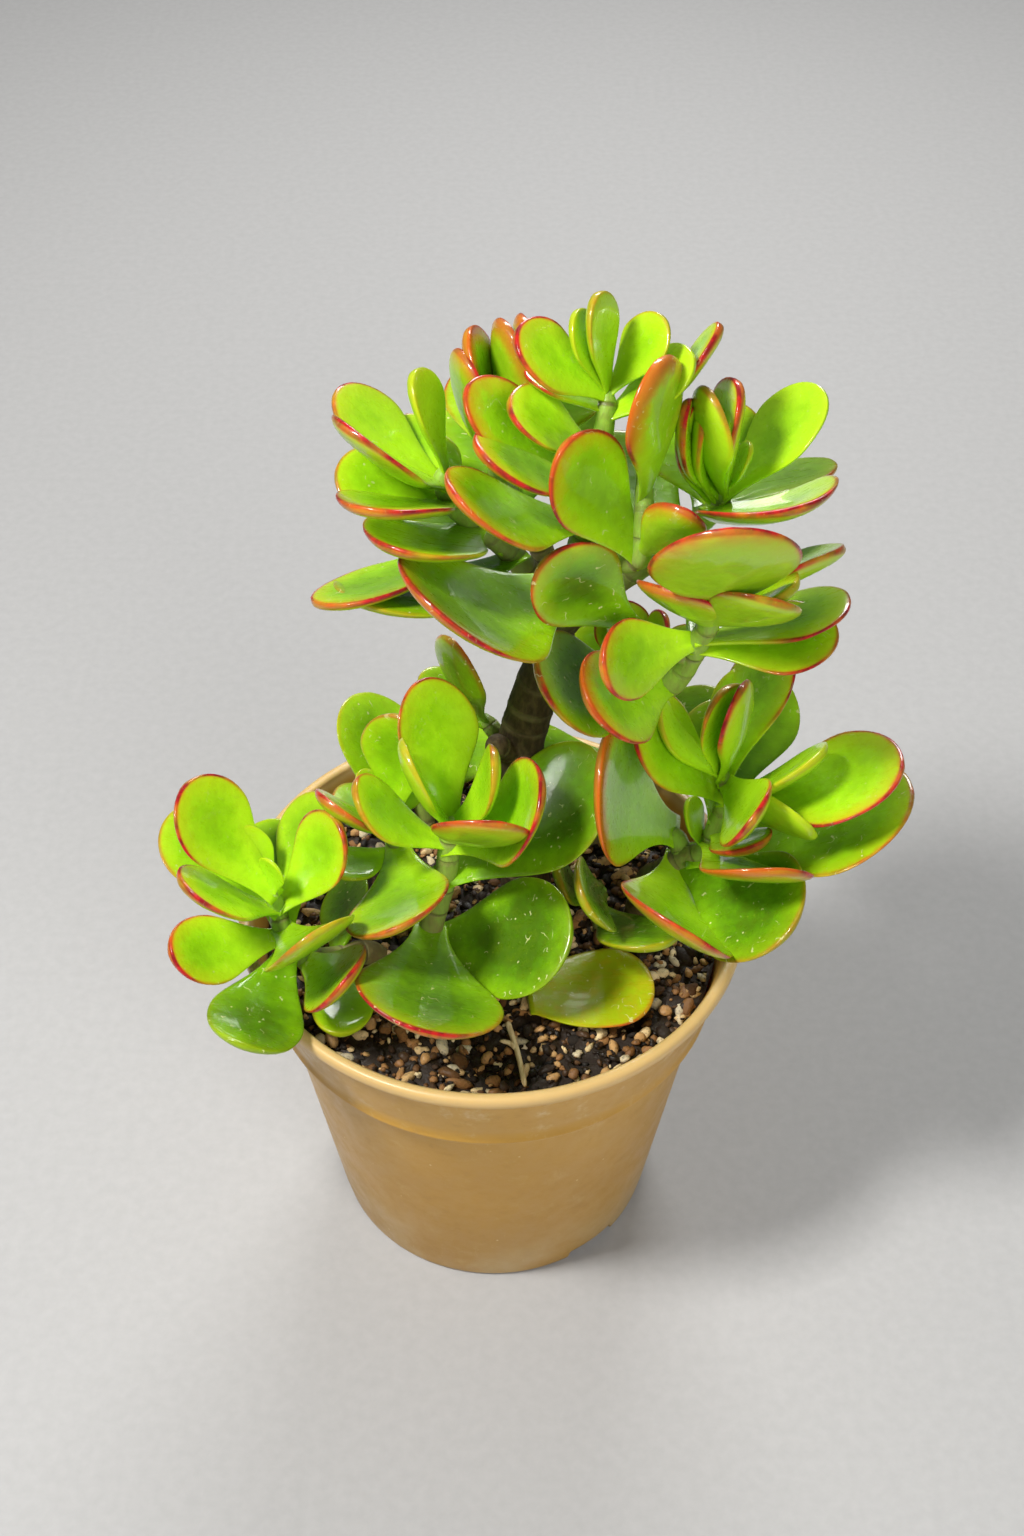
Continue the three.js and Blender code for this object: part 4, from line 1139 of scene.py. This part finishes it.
def loose_grains(skin, edge, rng):
    """Crumbs, then chips, spread over the mix, with the chips kept clear of the straw."""
    small, large = ball(1), ball(2)
    for i in range(GRANULES + CHIPS):
        chip = i >= GRANULES
        size = rng.uniform(*(CHIP_SIZES if chip else GRANULE_SIZES))
        reach = (edge - size) * math.sqrt(rng.uniform(0, 1))
        turn = rng.uniform(0, math.tau)
        x, y = reach * math.cos(turn), reach * math.sin(turn)
        if chip and min(math.dist((x, y), node[:2]) for node in STALK + FORK) < size + STRAW_ROOM:
            continue
        z = float(mix_top(x, y)) + size * rng.uniform(*GRAIN_LIFT)
        tone = rng.betavariate(*(CHIP_TONES if chip else GRANULE_TONES))
        add_grain(skin, rng, large if chip else small, (x, y, z), size, tone)


def potting_mix():
    rng = random.Random(MIX_SEED)
    skin = Skin()
    edge = inner_radius(MIX_HEIGHT - MIX_EDGE_DROP) - MIX_GAP
    mix_body(skin, edge, rng)
    loose_grains(skin, edge, rng)
    dress(skin, "potting_mix", "potting_mix", GRAINS)


# The woody start of each limb: path, where its bark ends, radius at the path's two ends,
# and how woody it starts and ends
LIMBS = (
    (SIDE, SIDE_BARK, 2.4, 1.9, (0.7, 0.5)),
    (CROWN_LEFT, CROWN_LEFT_BARK, 3, 1.9, (0.8, 0.5)),
    (CROWN_BACK, CROWN_BACK_BARK, 2.8, 1.8, (0.8, 0.55)),
    (CROWN_TOP, CROWN_TOP_BARK, 3.6, 1.9, (0.8, 0.5)),
    (RIGHT_TOP, RIGHT_TOP_BARK, 3.6, 2, (0.8, 0.55)),
    (RIGHT_MIDDLE, RIGHT_MIDDLE_BARK, 3.6, 2, (0.8, 0.5)),
)


def trunk():
    """The bark: the trunk, its cut stub and the woody starts of the limbs."""
    rng = random.Random(TRUNK_SEED)
    skin = Skin()
    add_stem(skin, TRUNK, 0, 6, 6.4, 4.6, (1, 0.82), rng, sides=36, step=0.7, scars=8)
    add_stem(skin, STUB, 0, 2, 3, 2.6, (0.8, 0.75), rng, sides=24, step=0.5, scars=4)
    for path, end, thick, thin, wood in LIMBS:
        add_stem(skin, path, 0, end + BARK_OVERLAP, thick, thin, wood, rng)
    dress(skin, "trunk", "bark", STEM_SKIN)


def right_stem():
    rng = random.Random(RIGHT_STEM_SEED)
    skin = Skin()
    end = RIGHT_BARK + 2 * BARK_OVERLAP
    add_stem(skin, RIGHT, 0, end, 3.4, 1.7, (0.9, 0.5), rng, sides=24, step=0.6, scars=6)
    dress(skin, "right_stem", "bark", STEM_SKIN)


def fallen_leaf():
    base, shape = FALLEN
    skin = Skin()
    add_leaf(skin, base, shape, 0.6, 0.6, random.Random(FALLEN_SEED), petiole=0.5, taper=1.0)
    dress(skin, "fallen_leaf", "fallen_leaf", OLIVE_WAX)


def straw():
    rng = random.Random(STRAW_SEED)
    skin = Skin()
    for path, thick, thin in ((STALK, 0.7, 0.6), (FORK, 0.6, 0.5)):
        add_stem(skin, path, 0, 2, thick, thin, (0, 0), rng, sides=10, step=0.4, scars=3)
    dress(skin, "straw", "straw", DRY_STRAW)


REAR_RIGHT_LEAVES = pair_rows((2, 2.6, 3.2, 3.7, 4), 20, 20, 30, 20)
REAR_LEFT_LEAVES = pair_rows((1.8, 2.5, 3), 40, 15, 24, 16)
OLD_SHOOT = "low_sprout"

# Leafy shoots, node by node. Each stem has its path, where it starts and ends on it, radius at the
# path's two ends, how woody it starts and ends, and its leaves
SHOOTS = {
    "left_shoot": [(LEFT, 0, 6, 3.2, 1.8, (0.8, 0), LEFT_LEAVES)],
    "centre_shoot": [(CENTRE, 0, 6, 3.4, 1.9, (0.8, 0), CENTRE_LEAVES)],
    "back_left_shoot": [(BACK_LEFT, 0, 5, 3, 1.8, (0.8, 0), BACK_LEFT_LEAVES)],
    "right_shoot": [
        (RIGHT, RIGHT_BARK, 9, 3.4, 1.7, (0.5, 0), RIGHT_LEAVES),
        (RIGHT_TWIG, 0, 2, 2.4, 2.2, (0.2, 0), RIGHT_TWIG_LEAVES),
    ],
    "trunk_side_shoot": [(SIDE, SIDE_BARK, 2, 2.4, 1.9, (0.5, 0), SIDE_LEAVES)],
    "crown_left_shoot": [(CROWN_LEFT, CROWN_LEFT_BARK, 6, 3, 1.9, (0.5, 0), CROWN_LEFT_LEAVES)],
    "crown_back_shoot": [(CROWN_BACK, CROWN_BACK_BARK, 6, 2.8, 1.8, (0.5, 0), CROWN_BACK_LEAVES)],
    "crown_top_shoot": [
        (CROWN_TOP, CROWN_TOP_BARK, 8, 3.6, 1.7, (0.5, 0), CROWN_TOP_LEAVES),
        (CROWN_MIDDLE, 0, 5, 2.6, 1.7, (0.25, 0), CROWN_MIDDLE_LEAVES),
        (CROWN_TWIG, 0, 2, 1.7, 1.5, (0, 0), CROWN_TWIG_LEAVES),
    ],
    "right_top_shoot": [(RIGHT_TOP, RIGHT_TOP_BARK, 5, 3.6, 2, (0.5, 0), RIGHT_TOP_LEAVES)],
    "right_middle_shoot": [
        (RIGHT_MIDDLE, RIGHT_MIDDLE_BARK, 8, 3.6, 2, (0.5, 0), RIGHT_MIDDLE_LEAVES),
        (MIDDLE_TWIG, 0, 2, 2.2, 2, (0.2, 0), MIDDLE_TWIG_LEAVES),
    ],
    "low_sprout": [(SPROUT, 0, 3, 2.2, 1.6, (0.6, 0.1), SPROUT_LEAVES)],
    "rear_right_shoot": [(REAR_RIGHT, 0, 4, 3, 1.8, (0.8, 0), REAR_RIGHT_LEAVES)],
    "rear_left_shoot": [(REAR_LEFT, 0, 3, 2.4, 1.6, (0.7, 0), REAR_LEFT_LEAVES)],
}


def shoot(node, stems, seed):
    """A leafy shoot: its stems first, then the leaves on them."""
    rng = random.Random(seed)
    skin = Skin()
    for path, start, end, thick, thin, wood, _ in stems:
        add_stem(skin, path, start, end, thick, thin, wood, rng, slot=1)
    for path, *_, rows in stems:
        for place, *shape, age, blush in rows:
            add_leaf(skin, curve_point(path, place)[0], shape, age, blush, rng)
    dress(skin, node, "old_leaf" if node == OLD_SHOOT else "leaf", LEAF_WAX, STEM_SKIN)


def build_plant():
    pot()
    potting_mix()
    trunk()
    right_stem()
    fallen_leaf()
    straw()
    for seed, (node, stems) in enumerate(SHOOTS.items(), FIRST_SHOOT_SEED):
        shoot(node, stems, seed)


# Stage

def lay_floor():
    mesh = bpy.data.meshes.new("floor")
    corners = [(x * FLOOR_REACH, y * FLOOR_REACH, 0) for x, y in ((-1, -1), (1, -1), (1, 1), (-1, 1))]
    mesh.from_pydata(corners, [], [(0, 1, 2, 3)])
    mesh.materials.append(floor_material())
    floor = add_object("floor", mesh)
    floor.location.z = -FLOOR_DROP


def light_sky():
    """A soft sky, brighter where the camera sees it than where it lights the plant."""
    world = bpy.data.worlds.new("studio")
    world.use_nodes = True
    tree = world.node_tree
    background = tree.nodes["Background"]
    background.inputs["Color"].default_value = SKY_COLOR
    seen = tree.nodes.new("ShaderNodeLightPath").outputs["Is Camera Ray"]
    strength = tree.nodes.new("ShaderNodeMath")
    strength.operation = "MULTIPLY_ADD"
    strength.inputs[1].default_value = SKY_SEEN
    strength.inputs[2].default_value = SKY_LIGHT
    tree.links.new(seen, strength.inputs[0])
    tree.links.new(strength.outputs[0], background.inputs["Strength"])
    bpy.context.scene.world = world


def lamp(name, place, size, power, color):
    """A rectangular lamp that faces the plant."""
    data = bpy.data.lights.new(name, "AREA")
    data.shape = "RECTANGLE"
    data.size, data.size_y = size
    data.energy = power
    data.color = color
    obj = add_object(name, data)
    obj.location = place
    direction = Vector(LAMP_TARGET) - obj.location
    obj.rotation_euler = direction.to_track_quat("-Z", "Y").to_euler()
    return obj


def studio():
    """The floor, the sky and the lamps; the front lamp doesn't show in the leaves' shine."""
    lay_floor()
    light_sky()
    lamps = {name: lamp(name, *parts) for name, parts in LAMPS.items()}
    lamps["front"].visible_glossy = False
    bpy.context.scene.view_settings.view_transform = "Standard"


def camera():
    data = bpy.data.cameras.new("camera")
    data.lens = CAMERA_LENS
    data.sensor_width = CAMERA_SENSOR
    data.clip_start, data.clip_end = CAMERA_CLIP
    obj = add_object("camera", data)
    obj.location = [value * MM for value in CAMERA_PLACE]
    obj.rotation_euler = (math.radians(CAMERA_TILT), 0, 0)
    bpy.context.scene.camera = obj


build_plant()
studio()
camera()
